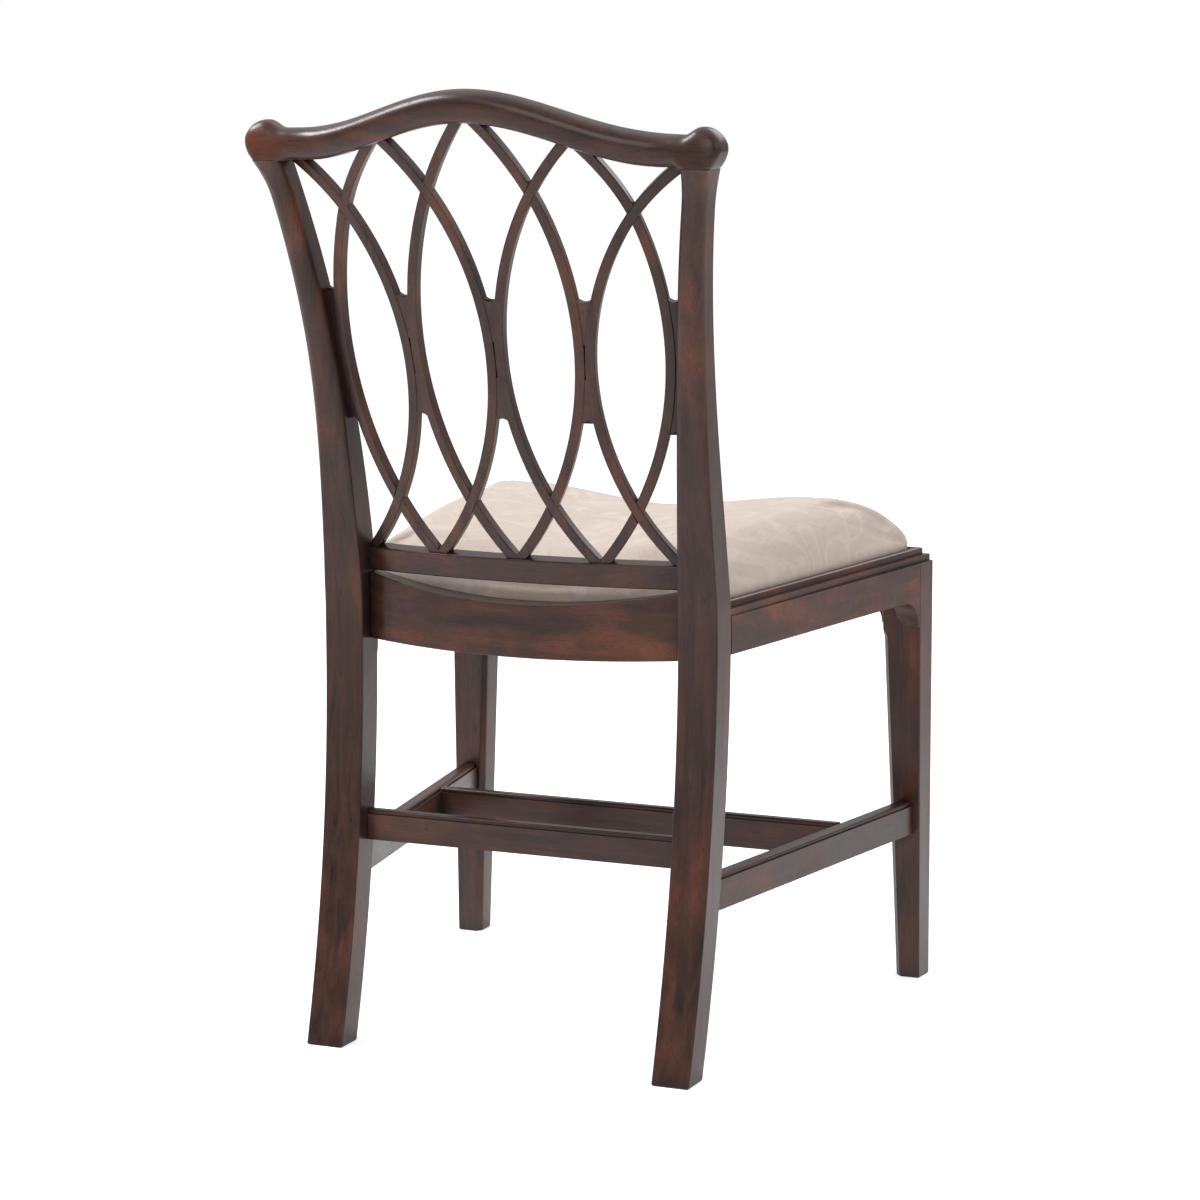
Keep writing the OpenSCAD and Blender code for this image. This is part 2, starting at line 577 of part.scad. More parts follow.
// The origin lies midway between the front legs' faces and the rearmost point of the crest
rear_reach = max([for (p = crest_ring(0)) p[1]]);
y_shift = -(front_y + rear_reach) / 2;
housing_d = 6;                 // depth of the bars' housings in the crest and the lower rail
module crest_rail() {
    color(wood_dark) in_place() difference() {
        skin([for (x = crest_stations) crest_ring(x)]);
        for (side = [0, 1]) mirror([side, 0, 0]) {
            block([ear_in_x - ear_neck, ear_y - ear_d, ear_neck_z - ear_d],
                [ear_x + over, ear_y + ear_d, joint_z]);
            stile_tenon(fit);
        }
        for (side = [0, 1]) mirror([side, 0, 0]) for (k = [0 : 3]) bar_stub(k, true);
    }
}

// Trellis bars: four arcs on each side of the middle, in four ovals that touch one another
meet_gap = 0.2;                // air between bars that touch at their widest
bar_rings = 36;
// Heights of the arcs' widest points, as shares of the opening's height
arc_outer_share = 0.5306;
arc_facing_share = 0.4291;
arc_inner_share = 0.5225;
arc_middle_share = 0.4741;
function open_z(share) = lerp(lower_top_z, crest_low_z, share);
arc_outer_z = open_z(arc_outer_share);
arc_facing_z = open_z(arc_facing_share);
arc_inner_z = open_z(arc_inner_share);
arc_middle_z = open_z(arc_middle_share);
half_bar = bar_w / 2;
inner_meet_share = 0.5232;     // of the outermost bars' distance from the middle
outer_meet_x = rear_leg_in_x + outer_bar_off;
inner_meet_x = inner_meet_share * outer_meet_x;
// The arcs' radii hold for an opening of this height and half width, and they stretch with another one
drawn_open_h = 433.5;
drawn_half_w = 181;
open_stretch = open_h / drawn_open_h;
open_widen = outer_meet_x / drawn_half_w;
// The two arcs at a meeting line are widest at different heights, so their widest points may pass the line
meet_pass = open_widen * pow((arc_inner_z - arc_facing_z) / open_stretch / 2, 2)
    / (inner_arc_r + outer_facing_r);
meet_off = half_bar + meet_gap / 2 - meet_pass;
curl_drop = 88.5;              // below the crest's lowest top edge, where the arcs' ends start to bend more
curl_z = crest_low_z - curl_drop;
curl_span = 76;
outer_curl = 12;               // extra bend over the curl's span, positive towards the arc's hollow side
facing_curl = 6.6;
inner_curl = 2.2;
middle_curl = 1.3;
// Radius, widest x, height of the widest point, side of the bulge (1 towards +X) and curl
bar_outer = [outer_arc_r, outer_meet_x, arc_outer_z, 1, outer_curl];
bar_facing = [outer_facing_r, inner_meet_x + meet_off, arc_facing_z, -1, facing_curl];
bar_inner = [inner_arc_r, inner_meet_x - meet_off, arc_inner_z, 1, inner_curl];
bar_middle = [middle_arc_r, half_bar + meet_gap / 2, arc_middle_z, -1, middle_curl];
bars = [bar_outer, bar_facing, bar_inner, bar_middle];
function bar_x(b, z) =
    let (d = (z - b[2]) / open_stretch, u = max(0, z - curl_z) / curl_span)
    b[1] - b[3] * (open_widen * (b[0] - sqrt(max(0, b[0] * b[0] - d * d))) + b[4] * u * u);
function bar_lean(b, z) = (bar_x(b, z + slope_step) - bar_x(b, z - slope_step)) / (2 * slope_step);
bar_foot_z = lower_rail_z + lower_rail_h - housing_d;
// Height of a bar's upper end, a housing's depth above the crest's underside
function under_crest(x) = crest_top(x) - crest_h;
function bar_top_z(b) =
    let (z0 = under_crest(bar_x(b, crest_low_z - crest_h / 2)), z1 = under_crest(bar_x(b, z0)),
        z2 = under_crest(bar_x(b, z1)))
    under_crest(bar_x(b, z2)) + housing_d;
// Section of a bar at a height, counter-clockwise seen from above
function bar_ring(b, z, grow) =
    let (q = atan(bar_lean(b, z)), x = bar_x(b, z), h = half_bar + grow)
    [for (c = [[-1, bar_t + grow], [1, bar_t + grow], [1, -grow], [-1, -grow]])
        on_trellis(x + c[0] * h * cos(q), z - c[0] * h * sin(q), c[1])];
module bar_blank(b) {
    z1 = bar_top_z(b);
    skin([for (k = [0 : bar_rings]) bar_ring(b, lerp(bar_foot_z, z1, k / bar_rings), 0)]);
}
// Bars whose ends meet are mitred on an upright plane, and the outermost foot clears the stile
mitre_reach = 60;
foot_clear = 1;                // air between the outermost foot and the stile
foot_meet_x = (bar_x(bar_outer, bar_foot_z) + bar_x(bar_middle, bar_foot_z)) / 2;
top_meet_x = (bar_x(bar_outer, bar_top_z(bar_outer)) + bar_x(bar_middle, bar_top_z(bar_middle))) / 2;
module mitre_cut(x, keep_above, z_mid, grow) {
    x0 = keep_above ? x - mitre_reach : x + fit / 2 + grow;
    x1 = keep_above ? x - fit / 2 - grow : x + mitre_reach;
    block([x0 + (keep_above ? fit : 0), -mitre_reach - leg_d, z_mid - mitre_reach],
        [x1 + (keep_above ? fit : 0), crest_y + mitre_reach, z_mid + mitre_reach]);
}
module bar_mitres(k, grow) {
    if (k == 0) {
        mitre_cut(foot_meet_x, true, bar_foot_z, grow);
        mitre_cut(top_meet_x, true, bar_top_z(bar_outer), grow);
    }
    if (k == 1) mitre_cut(rear_leg_in_x - foot_clear, false, bar_foot_z - mitre_reach / 2, grow);
    if (k == 2) {
        mitre_cut(0, true, bar_foot_z, grow);
        mitre_cut(0, true, bar_top_z(bar_inner), grow);
    }
    if (k == 3) {
        mitre_cut(foot_meet_x, false, bar_foot_z, grow);
        mitre_cut(top_meet_x, false, bar_top_z(bar_middle), grow);
    }
}
// Short grown piece of a bar's end, which cuts its housing
housing_fit = 0.3;
stub_l = 5 * housing_d;
stub_rings = 5;
module bar_stub(k, upper) {
    b = bars[k];
    z_end = upper ? bar_top_z(b) + end_gap : bar_foot_z - end_gap;
    z_far = upper ? z_end - stub_l : z_end + stub_l;
    difference() {
        skin([for (j = [0 : stub_rings])
            bar_ring(b, lerp(min(z_end, z_far), max(z_end, z_far), j / stub_rings), housing_fit)]);
        if (k == 1 && !upper) bar_mitres(k, fit);
    }
}
// Height at which two arcs cross, found by halving between two heights
function cross_z(b, c, lo, hi, n) =
    let (mid = (lo + hi) / 2)
    n == 0 ? mid
    : (bar_x(b, lo) - bar_x(c, lo)) * (bar_x(b, mid) - bar_x(c, mid)) <= 0 ? cross_z(b, c, lo, mid, n - 1)
    : cross_z(b, c, mid, hi, n - 1);
halvings = 22;
// Shares of the opening's height between which the laps lie
lap_low_share = 0.058;
lap_mid_share = 0.473;
lap_high_share = 0.945;
lap_fit = 0.3;
// Section and cut for a half lap at a crossing, along the other bar and over one half of the depth
lap_reach = 2.5 * bar_w;       // length of the cut to each side of the crossing
lap_rings = 6;
function lap_ring(b, z, d0, d1) =
    let (q = atan(bar_lean(b, z)), x = bar_x(b, z), h = half_bar + lap_fit)
    [for (c = [[-1, d1], [1, d1], [1, d0], [-1, d0]])
        on_trellis(x + c[0] * h * cos(q), z - c[0] * h * sin(q), c[1])];
module lap_cut(other, z, rear_half) {
    d0 = rear_half ? -over : (bar_t - fit) / 2;
    d1 = rear_half ? (bar_t + fit) / 2 : bar_t + over;
    skin([for (j = [0 : lap_rings])
        lap_ring(other, lerp(z - lap_reach, z + lap_reach, j / lap_rings), d0, d1)]);
}
// Arcs 0 and 1 share an oval, and so do 2 and 3; the even one gives up its rear half at the laps
module trellis_arc(k) {
    b = bars[k];
    mate = bars[k % 2 == 0 ? k + 1 : k - 1];
    color(wood_red) in_place() difference() {
        bar_blank(b);
        lap_cut(mate, cross_z(b, mate, open_z(lap_low_share), open_z(lap_mid_share), halvings), k % 2 == 0);
        lap_cut(mate, cross_z(b, mate, open_z(lap_mid_share), open_z(lap_high_share), halvings), k % 2 == 0);
        bar_mitres(k, 0);
    }
}
// Bars 1 to 4 stand on the sitter's right, 5 to 8 on the left, each set from the outside inwards
module trellis_bar(n) {
    if (n > 4) trellis_arc(n - 5);
    else right_of() trellis_arc(n - 1);
}

// Spacers, thinner than the bars, in the cusps above and below the touching bars
spacer_back = 1;               // set back from the bars' faces
spacer_tip = 1;                // width of a spacer's thin end
spacer_steps = 5;
meet_mid_z = (arc_inner_z + arc_facing_z) / 2;
function edge_x(b, z, side) = bar_x(b, z) + side * (half_bar / cos(atan(bar_lean(b, z))) + fit);
// Solid between two edges, given as functions' results at a list of heights
module spacer(rows) {
    color(wood_mid) in_place() skin([for (r = rows)
        [on_trellis(r[0], r[2], bar_t - spacer_back), on_trellis(r[1], r[2], bar_t - spacer_back),
            on_trellis(r[1], r[2], spacer_back), on_trellis(r[0], r[2], spacer_back)]]);
}
function tip_dz(sum_r) = open_stretch * sqrt((spacer_tip + 2 * fit - meet_gap) * sum_r / open_widen);
function cusp_heights(z_mid, dz, upper) =
    [for (k = [0 : spacer_steps]) upper ? lerp(z_mid + dz, z_mid + spacer_reach, k / spacer_steps)
        : lerp(z_mid - spacer_reach, z_mid - dz, k / spacer_steps)];
module middle_spacer(upper) {
    spacer([for (z = cusp_heights(arc_middle_z, tip_dz(middle_arc_r), upper))
        [-edge_x(bar_middle, z, -1), edge_x(bar_middle, z, -1), z]]);
}
module oval_spacer(upper) {
    dz = tip_dz(2 / (1 / inner_arc_r + 1 / outer_facing_r));
    spacer([for (z = cusp_heights(meet_mid_z, dz, upper))
        [edge_x(bar_inner, z, 1), edge_x(bar_facing, z, -1), z]]);
}
stile_spacer_h = 68;           // half the height of the spacer beside a stile
stile_spacer_share = 0.468;    // of the opening's height, where its middle lies
stile_spacer_mid = open_z(stile_spacer_share);
module stile_spacer() {
    spacer([for (k = [0 : 2 * spacer_steps])
        let (z = stile_spacer_mid + lerp(-stile_spacer_h, stile_spacer_h, k / (2 * spacer_steps)))
        [edge_x(bar_outer, z, 1), leg_centre(z) - leg_width(z) / 2 - fit, z]]);
}
// Spacers 1 to 3 stand on the sitter's right, 4 and 5 on the middle line and 6 to 8 on the left
module trellis_spacer(n) {
    if (n == 1) right_of() stile_spacer();
    if (n == 2 || n == 3) right_of() oval_spacer(n == 3);
    if (n == 4 || n == 5) middle_spacer(n == 5);
    if (n == 6 || n == 7) oval_spacer(n == 7);
    if (n == 8) stile_spacer();
}

// Lower back rail, tenoned between the stiles above the seat
module lower_back_rail() {
    color(wood_mid) in_place() difference() {
        union() {
            lower_rail_body();
            for (side = [0, 1]) mirror([side, 0, 0]) lower_rail_tenon(0);
        }
        for (side = [0, 1]) mirror([side, 0, 0]) for (k = [0 : 3]) bar_stub(k, false);
    }
}

// Front and side seat rails, with a coved bracket beside each front leg
bracket_lead = 12;
bracket_l = bracket_r + bracket_lead;
bracket_foot = 3;              // flat end of the bracket below its cove
// Elevation of a rail's end: x runs away from the leg, y is the height above the rail's lower edge
module bracket_profile() {
    difference() {
        translate([0, -bracket_r]) square([bracket_l, bracket_r]);
        translate([bracket_r + bracket_foot, -bracket_r]) circle(bracket_r, $fn = 64);
        translate([bracket_r + bracket_foot, -bracket_r - over]) square([bracket_l, bracket_r + over]);
    }
}
rail_gap = fit;                // air between a rail's shoulder and the leg
side_run = seat_depth / cos(splay_angle);
module side_rail_blank() {
    translate([side_x(front_leg_rear_y, 0), front_leg_rear_y, rail_z]) rotate([0, 0, splay_angle])
        rotate([90, 0, 90]) translate([0, 0, -rail_t]) linear_extrude(rail_t) {
            translate([-leg_w, 0]) square([side_run, rail_h]);
            translate([rail_gap, 0]) bracket_profile();
            translate([-leg_w, -bracket_r]) square([leg_w + 2 * rail_gap, bracket_r]);
        }
}
// Screws of the corner blocks
screw_d = 4.5;
screw_head_d = 8.5;
screw_head_h = 3;
screw_l = 34;
screw_in_rail = 16;
block_set = 5;                 // the blocks stand in from the rails' edges
block_bottom_z = rail_z + block_set;
block_top_z = frame_top_z - block_set;
block_mid_z = (block_bottom_z + block_top_z) / 2;
front_screw_off = 30;          // from a leg's face to the screw beside it
rear_screw_off = 22;
side_screw_off = 34;
front_screw_x = front_leg_in_x - front_screw_off;
side_screw_y = front_leg_rear_y + side_screw_off;
rear_screw_x = rear_leg_in_x - rear_screw_off;
rear_side_screw_y = leg_front_y - side_screw_off;
rail_in_y = front_y + rail_t;
module screw_at(p, turn, grow) {
    translate(p) rotate([0, 0, turn]) rotate([90, 0, 0]) {
        translate([0, 0, -screw_in_rail - 2 * grow])
            cylinder(h = screw_l + 2 * grow - screw_head_h, d = screw_d + 2 * grow, $fn = 32);
        translate([0, 0, screw_l - screw_in_rail - screw_head_h - grow])
            cylinder(h = screw_head_h + (grow > 0 ? block_reach : 0) + grow,
                d = screw_head_d + 2 * grow, $fn = 32);
    }
}
block_reach = 60;
function rail_in_x(y) = side_x(y, rail_t);
// The screws run from the block towards the rail: turn 0 points the head to -Y
module block_screws(grow) {
    screw_at([front_screw_x, rail_in_y, block_mid_z], 180, grow);
    screw_at([rail_in_x(side_screw_y), side_screw_y, block_mid_z], -90 + splay_angle, grow);
    screw_at([rear_screw_x, leg_front_y, block_mid_z], 0, grow);
    screw_at([rail_in_x(rear_side_screw_y), rear_side_screw_y, block_mid_z], -90 + splay_angle, grow);
}
module corner_block_screws() {
    color(screw_metal) in_place() for (side = [0, 1]) mirror([side, 0, 0]) block_screws(0);
}
module seat_rail_side() {
    color(wood_mid) in_place() {
        difference() {
            side_rail_blank();
            block([0, leg_front_y - rail_gap, rail_z - leg_w], [front_w, leg_w, frame_top_z + leg_w]);
            block([0, front_y - leg_w, rail_z - leg_w],
                [front_w, front_leg_rear_y + rail_gap, frame_top_z + leg_w]);
            block_screws(fit);
        }
        side_rail_tenon(leg_front_y, 1, 0);
        side_rail_tenon(front_leg_rear_y, -1, 0);
    }
}
module seat_rail_left() { seat_rail_side(); }
module seat_rail_right() { right_of() seat_rail_side(); }

module seat_rail_front() {
    half = front_leg_in_x - rail_gap;
    color(wood_mid) in_place() {
        difference() {
            translate([0, front_y + rail_t, rail_z]) rotate([90, 0, 0]) linear_extrude(rail_t) {
                translate([-half, 0]) square([2 * half, rail_h]);
                for (side = [0, 1]) mirror([side, 0, 0])
                    translate([half, 0]) mirror([1, 0, 0]) bracket_profile();
            }
            for (side = [0, 1]) mirror([side, 0, 0]) block_screws(fit);
        }
        for (side = [0, 1]) mirror([side, 0, 0]) front_rail_tenon(0);
    }
}

// Rear seat rail: bowed behind, dished above and sagging below, rebated for the loose seat
dish_r = (rear_leg_in_x * rear_leg_in_x + dish_d * dish_d) / (2 * dish_d);
sag_r = (rear_leg_in_x * rear_leg_in_x + rear_sag_d * rear_sag_d) / (2 * rear_sag_d);
seat_arc_r = 885;
rebate_d = 15.5;               // depth of the rebate at the middle of the rail
seat_arc_y = leg_front_y + rebate_d;
rear_rail_top = rear_rail_z + rear_rail_h;
module seat_rail_rear() {
    half = rear_leg_in_x - rail_gap;
    color(wood_mid) in_place() {
        difference() {
            intersection() {
                translate([0, leg_w, 0]) rotate([90, 0, 0]) linear_extrude(leg_d + leg_w) difference() {
                    intersection() {
                        translate([-half, rear_rail_z - rear_sag_d])
                            square([2 * half, rear_rail_h + rear_sag_d]);
                        translate([0, rear_rail_z - rear_sag_d + sag_r]) circle(sag_r, $fn = 720);
                    }
                    translate([0, rear_rail_top - dish_d + dish_r]) circle(dish_r, $fn = 360);
                }
                translate([0, rear_bow_y - rear_bow_r, 0]) cylinder(h = joint_z, r = rear_bow_r, $fn = 360);
            }
            translate([0, seat_arc_y - seat_arc_r, frame_top_z])
                cylinder(h = joint_z, r = seat_arc_r, $fn = 360);
            for (side = [0, 1]) mirror([side, 0, 0]) block_screws(fit);
        }
        for (side = [0, 1]) mirror([side, 0, 0]) rear_rail_tenon(0);
    }
}

// Corner blocks, screwed to the rails inside the frame
block_leg = 62;
block_nose = 12;               // thickness of a block's ends
module corner_block_front() {
    c = fit;
    x0 = front_leg_in_x - c;
    y0 = front_leg_rear_y + c;
    y1 = y0 + block_leg;
    color(block_wood) in_place() difference() {
        translate([0, 0, block_bottom_z]) linear_extrude(block_top_z - block_bottom_z) polygon([
            [x0, rail_in_y + c], [x0, y0], [rail_in_x(y0) - c, y0], [rail_in_x(y1) - c, y1],
            [rail_in_x(y1) - block_nose, y1], [x0 - block_leg, rail_in_y + block_nose],
            [x0 - block_leg, rail_in_y + c]]);
        block_screws(fit);
    }
}
module corner_block_rear() {
    c = fit;
    y0 = leg_front_y - c;
    y1 = y0 - block_leg;
    x1 = rear_leg_in_x - block_leg + rail_t / 2;
    color(block_wood) in_place() difference() {
        translate([0, 0, block_bottom_z]) linear_extrude(block_top_z - block_bottom_z) polygon([
            [x1, y0], [x1, y0 - block_nose], [rail_in_x(y1) - block_nose, y1], [rail_in_x(y1) - c, y1],
            [rail_in_x(y0) - c, y0]]);
        block_screws(fit);
    }
}
module corner_block_front_left() { corner_block_front(); }
module corner_block_front_right() { right_of() corner_block_front(); }
module corner_block_rear_left() { corner_block_rear(); }
module corner_block_rear_right() { right_of() corner_block_rear(); }

// Stretchers
// Everything on the far side of a straight line that leans with the leg's face
module lean_cut(y_lo, y_hi, z_lo, z_hi, to_rear) {
    far = seat_depth;
    rotate([90, 0, 90]) translate([0, 0, -front_w]) linear_extrude(2 * front_w) polygon(
        to_rear ? [[y_lo, z_lo], [far, z_lo], [far, z_hi], [y_hi, z_hi]]
        : [[-2 * far, z_lo], [y_lo, z_lo], [y_hi, z_hi], [-2 * far, z_hi]]);
}
module side_stretcher() {
    z_lo = side_stretcher_z - over;
    z_hi = side_stretcher_z + stretcher_h + over;
    butt = 0.3;
    color(wood_mid) in_place() difference() {
        union() {
            difference() {
                side_stretcher_blank();
                lean_cut(leg_rear(z_lo) - leg_d - butt, leg_rear(z_hi) - leg_d - butt, z_lo, z_hi, true);
                lean_cut(front_y + front_depth(z_lo) + butt, front_y + front_depth(z_hi) + butt,
                    z_lo, z_hi, false);
            }
            side_stretcher_tenon(false, 0);
            side_stretcher_tenon(true, 0);
        }
        cross_tenon(fit);
    }
}
module side_stretcher_left() { side_stretcher(); }
module side_stretcher_right() { right_of() side_stretcher(); }

module rear_stretcher() {
    half = rear_stretcher_end_x - 2 * fit;
    color(wood_mid) in_place() {
        translate([-half, rear_stretcher_rear_y, rear_stretcher_z]) rotate([90, 0, 90])
            linear_extrude(2 * half) stretcher_section(rear_stretcher_t, rear_stretcher_h);
        for (side = [0, 1]) mirror([side, 0, 0]) rear_stretcher_tenon(0);
    }
}

cross_t = 17;
cross_tenon_l = 11;
cross_mid_y = -cross_stretcher_y - cross_t / 2;
module cross_tenon(grow) {
    x0 = stretcher_x(cross_mid_y, stretcher_t);
    block([x0 - over, cross_mid_y - stretcher_tenon_t / 2 - grow,
            side_stretcher_z + stretcher_shoulder - grow],
        [x0 + cross_tenon_l + (grow > 0 ? end_gap : 0), cross_mid_y + stretcher_tenon_t / 2 + grow,
            side_stretcher_z + stretcher_h - stretcher_bead_h - stretcher_shoulder + grow]);
}
module cross_stretcher() {
    reach = front_w / 2;
    color(wood_mid) in_place() {
        difference() {
            translate([-reach, -cross_stretcher_y, side_stretcher_z])
                rotate([90, 0, 90]) linear_extrude(2 * reach)
                stretcher_section(cross_t, stretcher_h);
            for (side = [0, 1]) mirror([side, 0, 0]) translate([0, 0, side_stretcher_z - over])
                linear_extrude(stretcher_h + 2 * over) polygon([
                    [stretcher_x(0, stretcher_t + fit), 0],
                    [stretcher_x(-seat_depth, stretcher_t + fit), -seat_depth],
                    [front_w, -seat_depth], [front_w, 0]]);
        }
        for (side = [0, 1]) mirror([side, 0, 0]) cross_tenon(0);
    }
}

// Mouldings planted on the seat rails; they keep the loose seat in place
mould_edge = 1.5;              // from the rails' faces to the moulding's edge
mould_front_y = front_y + mould_edge;
mould_rear_x = rear_w / 2 - mould_edge;
mould_splay = (front_w - rear_w) / 2 / (leg_front_y - mould_front_y);
mould_angle = atan(mould_splay);
mould_top = frame_top_z + mould_h;
bead_edge_r = 2.5;
function mould_x(y, inset) = mould_rear_x + (leg_front_y - y) * mould_splay - inset / cos(mould_angle);
// Section of the moulding: x from the outer edge inwards, y above the rail
module mould_section() {
    square([mould_w, mould_step_h]);
    translate([mould_bead_inset, 0]) difference() {
        square([mould_w - mould_bead_inset, mould_h]);
        difference() {
            translate([-over, mould_h - bead_edge_r]) square([bead_edge_r + over, bead_edge_r + over]);
            translate([bead_edge_r, mould_h - bead_edge_r]) circle(bead_edge_r, $fn = 32);
        }
    }
}
// Half plane in plan beyond the mitre of the front corner
module mitre_plan(front_side_of) {
    po = [mould_x(mould_front_y, 0), mould_front_y];
    pi = [mould_x(mould_front_y + mould_w, mould_w), mould_front_y + mould_w];
    d = pi - po;
    a = po - 4 * d;
    b = pi + 4 * d;
    s = front_side_of ? [0, -mould_reach] : [mould_reach, 0];
    g = (front_side_of ? [0, 1] : [-1, 0]) * fit / 2;
    translate([0, 0, frame_top_z - over]) linear_extrude(mould_h + 2 * over)
        polygon(front_side_of ? [a + g, a + s, b + s, b + g] : [a + g, b + g, b + s, a + s]);
}
mould_reach = 120;
module seat_moulding_side() {
    run = seat_depth + 2 * mould_w;
    color(wood_mid) in_place() difference() {
        translate([mould_rear_x, leg_front_y, frame_top_z])
            rotate([0, 0, mould_angle]) translate([0, mould_w, 0])
            rotate([90, 0, 0]) linear_extrude(run) mirror([1, 0]) mould_section();
        block([0, leg_front_y - fit, frame_top_z - over], [front_w, leg_w, mould_top + over]);
        mitre_plan(true);
    }
}
module seat_moulding_left() { seat_moulding_side(); }
module seat_moulding_right() { right_of() seat_moulding_side(); }
module seat_moulding_front() {
    color(wood_mid) in_place() difference() {
        translate([-front_w / 2, mould_front_y, frame_top_z]) rotate([90, 0, 90])
            linear_extrude(front_w) mould_section();
        for (side = [0, 1]) mirror([side, 0, 0]) mitre_plan(false);
    }
}

// Loose seat: its outline follows the mouldings and the rebate of the rear rail
seat_y0 = mould_front_y + mould_w + seat_gap;
seat_arc_mid = seat_arc_y - seat_arc_r;
seat_rear_r = seat_arc_r - seat_gap;
// Rounded corners of the seat's outline: the middles of the front and the rear one
seat_corner_r = 10;
seat_inset = mould_w + seat_gap + seat_corner_r;
seat_fy = seat_y0 + seat_corner_r;
seat_fx = mould_x(seat_fy, seat_inset);
function arc_y_at(x) = seat_arc_mid + sqrt(pow(seat_rear_r - seat_corner_r, 2) - x * x);
seat_rx = mould_x(arc_y_at(mould_x(arc_y_at(mould_x(leg_front_y, seat_inset)), seat_inset)), seat_inset);
seat_ry = arc_y_at(seat_rx);
rear_turn = atan2(seat_ry - seat_arc_mid, seat_rx);
// The cover's rear edge runs in short straight lengths, and their middles lie this much inside its arc
edge_parts = 6;
rear_sag = seat_rear_r * (1 - cos((90 - rear_turn) / (2 * (edge_parts - 2))));
// Everything beyond the chord of a corner, between its two turns
module corner_cut(c, from, to, inset) {
    translate(c) rotate((from + to) / 2)
        translate([(seat_corner_r - inset) * cos((to - from) / 2), -seat_corner_r])
            square([seat_corner_r, 2 * seat_corner_r]);
}
// Plan of the seat, moved inwards by an inset, with its corners cut off inside the cover's rounded ones
module seat_plan(inset) {
    difference() {
        intersection() {
            polygon([
                [-mould_x(seat_y0 + inset, mould_w + seat_gap + inset), seat_y0 + inset],
                [mould_x(seat_y0 + inset, mould_w + seat_gap + inset), seat_y0 + inset],
                [mould_x(0, mould_w + seat_gap + inset), 0], [-mould_x(0, mould_w + seat_gap + inset), 0]]);
            translate([0, seat_arc_mid]) circle(seat_rear_r - rear_sag - inset, $fn = 360);
        }
        for (side = [0, 1]) mirror([side, 0]) {
            corner_cut([seat_fx, seat_fy], -90, mould_angle, inset);
            corner_cut([seat_rx, seat_ry], mould_angle, rear_turn, inset);
        }
    }
}
wrap_gap = 0.3;                // air between the seat frame and the cover
frame_inset = cover_t + wrap_gap;
rear_frame_extra = 8;          // the rear member is wider, because its rear edge is bowed
seat_rear_inner_y = seat_arc_y - seat_gap - frame_inset - seat_frame_w - rear_frame_extra;
// Half planes that pick the members out of the seat's plan
module side_band(inset, x_sign) {
    i0 = mould_w + seat_gap + inset;
    mirror([x_sign < 0 ? 1 : 0, 0]) polygon([
        [mould_x(front_y, i0), front_y], [mould_x(0, i0), 0], [front_w, 0], [front_w, front_y]]);
}
module front_band(y) { translate([-front_w / 2, front_y]) square([front_w, y - front_y]); }
module rear_band(y) { translate([-front_w / 2, y]) square([front_w, leg_d - y]); }
front_band_y = seat_y0 + frame_inset + seat_frame_w;
band_in = frame_inset + seat_frame_w;
lap_z = frame_top_z + seat_frame_t / 2;
seat_frame_top = frame_top_z + seat_frame_t;
// Cross members keep their full thickness between the side members and their lower half under them
module seat_frame_cross(front) {
    color(block_wood) in_place() difference() {
        translate([0, 0, frame_top_z]) linear_extrude(seat_frame_t) intersection() {
            seat_plan(frame_inset);
            if (front) front_band(front_band_y);
            else rear_band(seat_rear_inner_y);
        }
        translate([0, 0, lap_z - fit / 2]) linear_extrude(seat_frame_t) {
            side_band(band_in + fit, 1);
            side_band(band_in + fit, -1);
        }
    }
}
module seat_frame_front() { seat_frame_cross(true); }
module seat_frame_rear() { seat_frame_cross(false); }
module seat_frame_side(x_sign) {
    color(block_wood) in_place() difference() {
        translate([0, 0, frame_top_z]) linear_extrude(seat_frame_t) intersection() {
            seat_plan(frame_inset);
            side_band(band_in, x_sign);
        }
        translate([0, 0, frame_top_z - over]) linear_extrude(seat_frame_t / 2 + over + fit / 2) {
            front_band(front_band_y + fit);
            rear_band(seat_rear_inner_y - fit);
        }
    }
}
module seat_frame_left() { seat_frame_side(1); }
module seat_frame_right() { seat_frame_side(-1); }

// Interlaced jute straps, drawn as one flat lattice tacked to the top of the seat frame
web_t = 1.2;
web_w = 46;
web_pitch = 82;
web_tack = 26;                 // length of a strap's end on the frame
module seat_webbing() {
    inset = frame_inset + seat_frame_w - web_tack;
    y_mid = (seat_y0 + seat_arc_y) / 2;
    color(jute) in_place() translate([0, 0, seat_frame_top]) linear_extrude(web_t) intersection() {
        seat_plan(inset);
        union() {
            for (k = [-2 : 2]) translate([k * web_pitch - web_w / 2, front_y]) square([web_w, seat_depth]);
            for (k = [-3 / 2 : 3 / 2])
                translate([-front_w / 2, y_mid + k * web_pitch - web_w / 2]) square([front_w, web_w]);
        }
    }
}

// Black cambric under the seat frame, inside the seat rails
cambric_t = 0.8;
cambric_gap = 4;
cambric_corner = 26;
module dust_cover() {
    y0 = rail_in_y + cambric_gap;
    y1 = leg_front_y - cambric_gap;
    xa = rail_in_x(y0 + cambric_corner) - cambric_gap;
    xb = rail_in_x(y1) - cambric_gap;
    color(cambric) in_place() translate([0, 0, frame_top_z - cambric_t]) linear_extrude(cambric_t) polygon([
        [-xb, y1], [-xa, y0 + cambric_corner], [cambric_corner - xa, y0 + cambric_corner],
        [cambric_corner - xa, y0], [xa - cambric_corner, y0], [xa - cambric_corner, y0 + cambric_corner],
        [xa, y0 + cambric_corner], [xb, y1]]);
}

// Cushion as rings about its outline, each with a grown offset, a share of the plan and a height
function turned(c, r, a) = [c[0] + r * cos(a), c[1] + r * sin(a)];
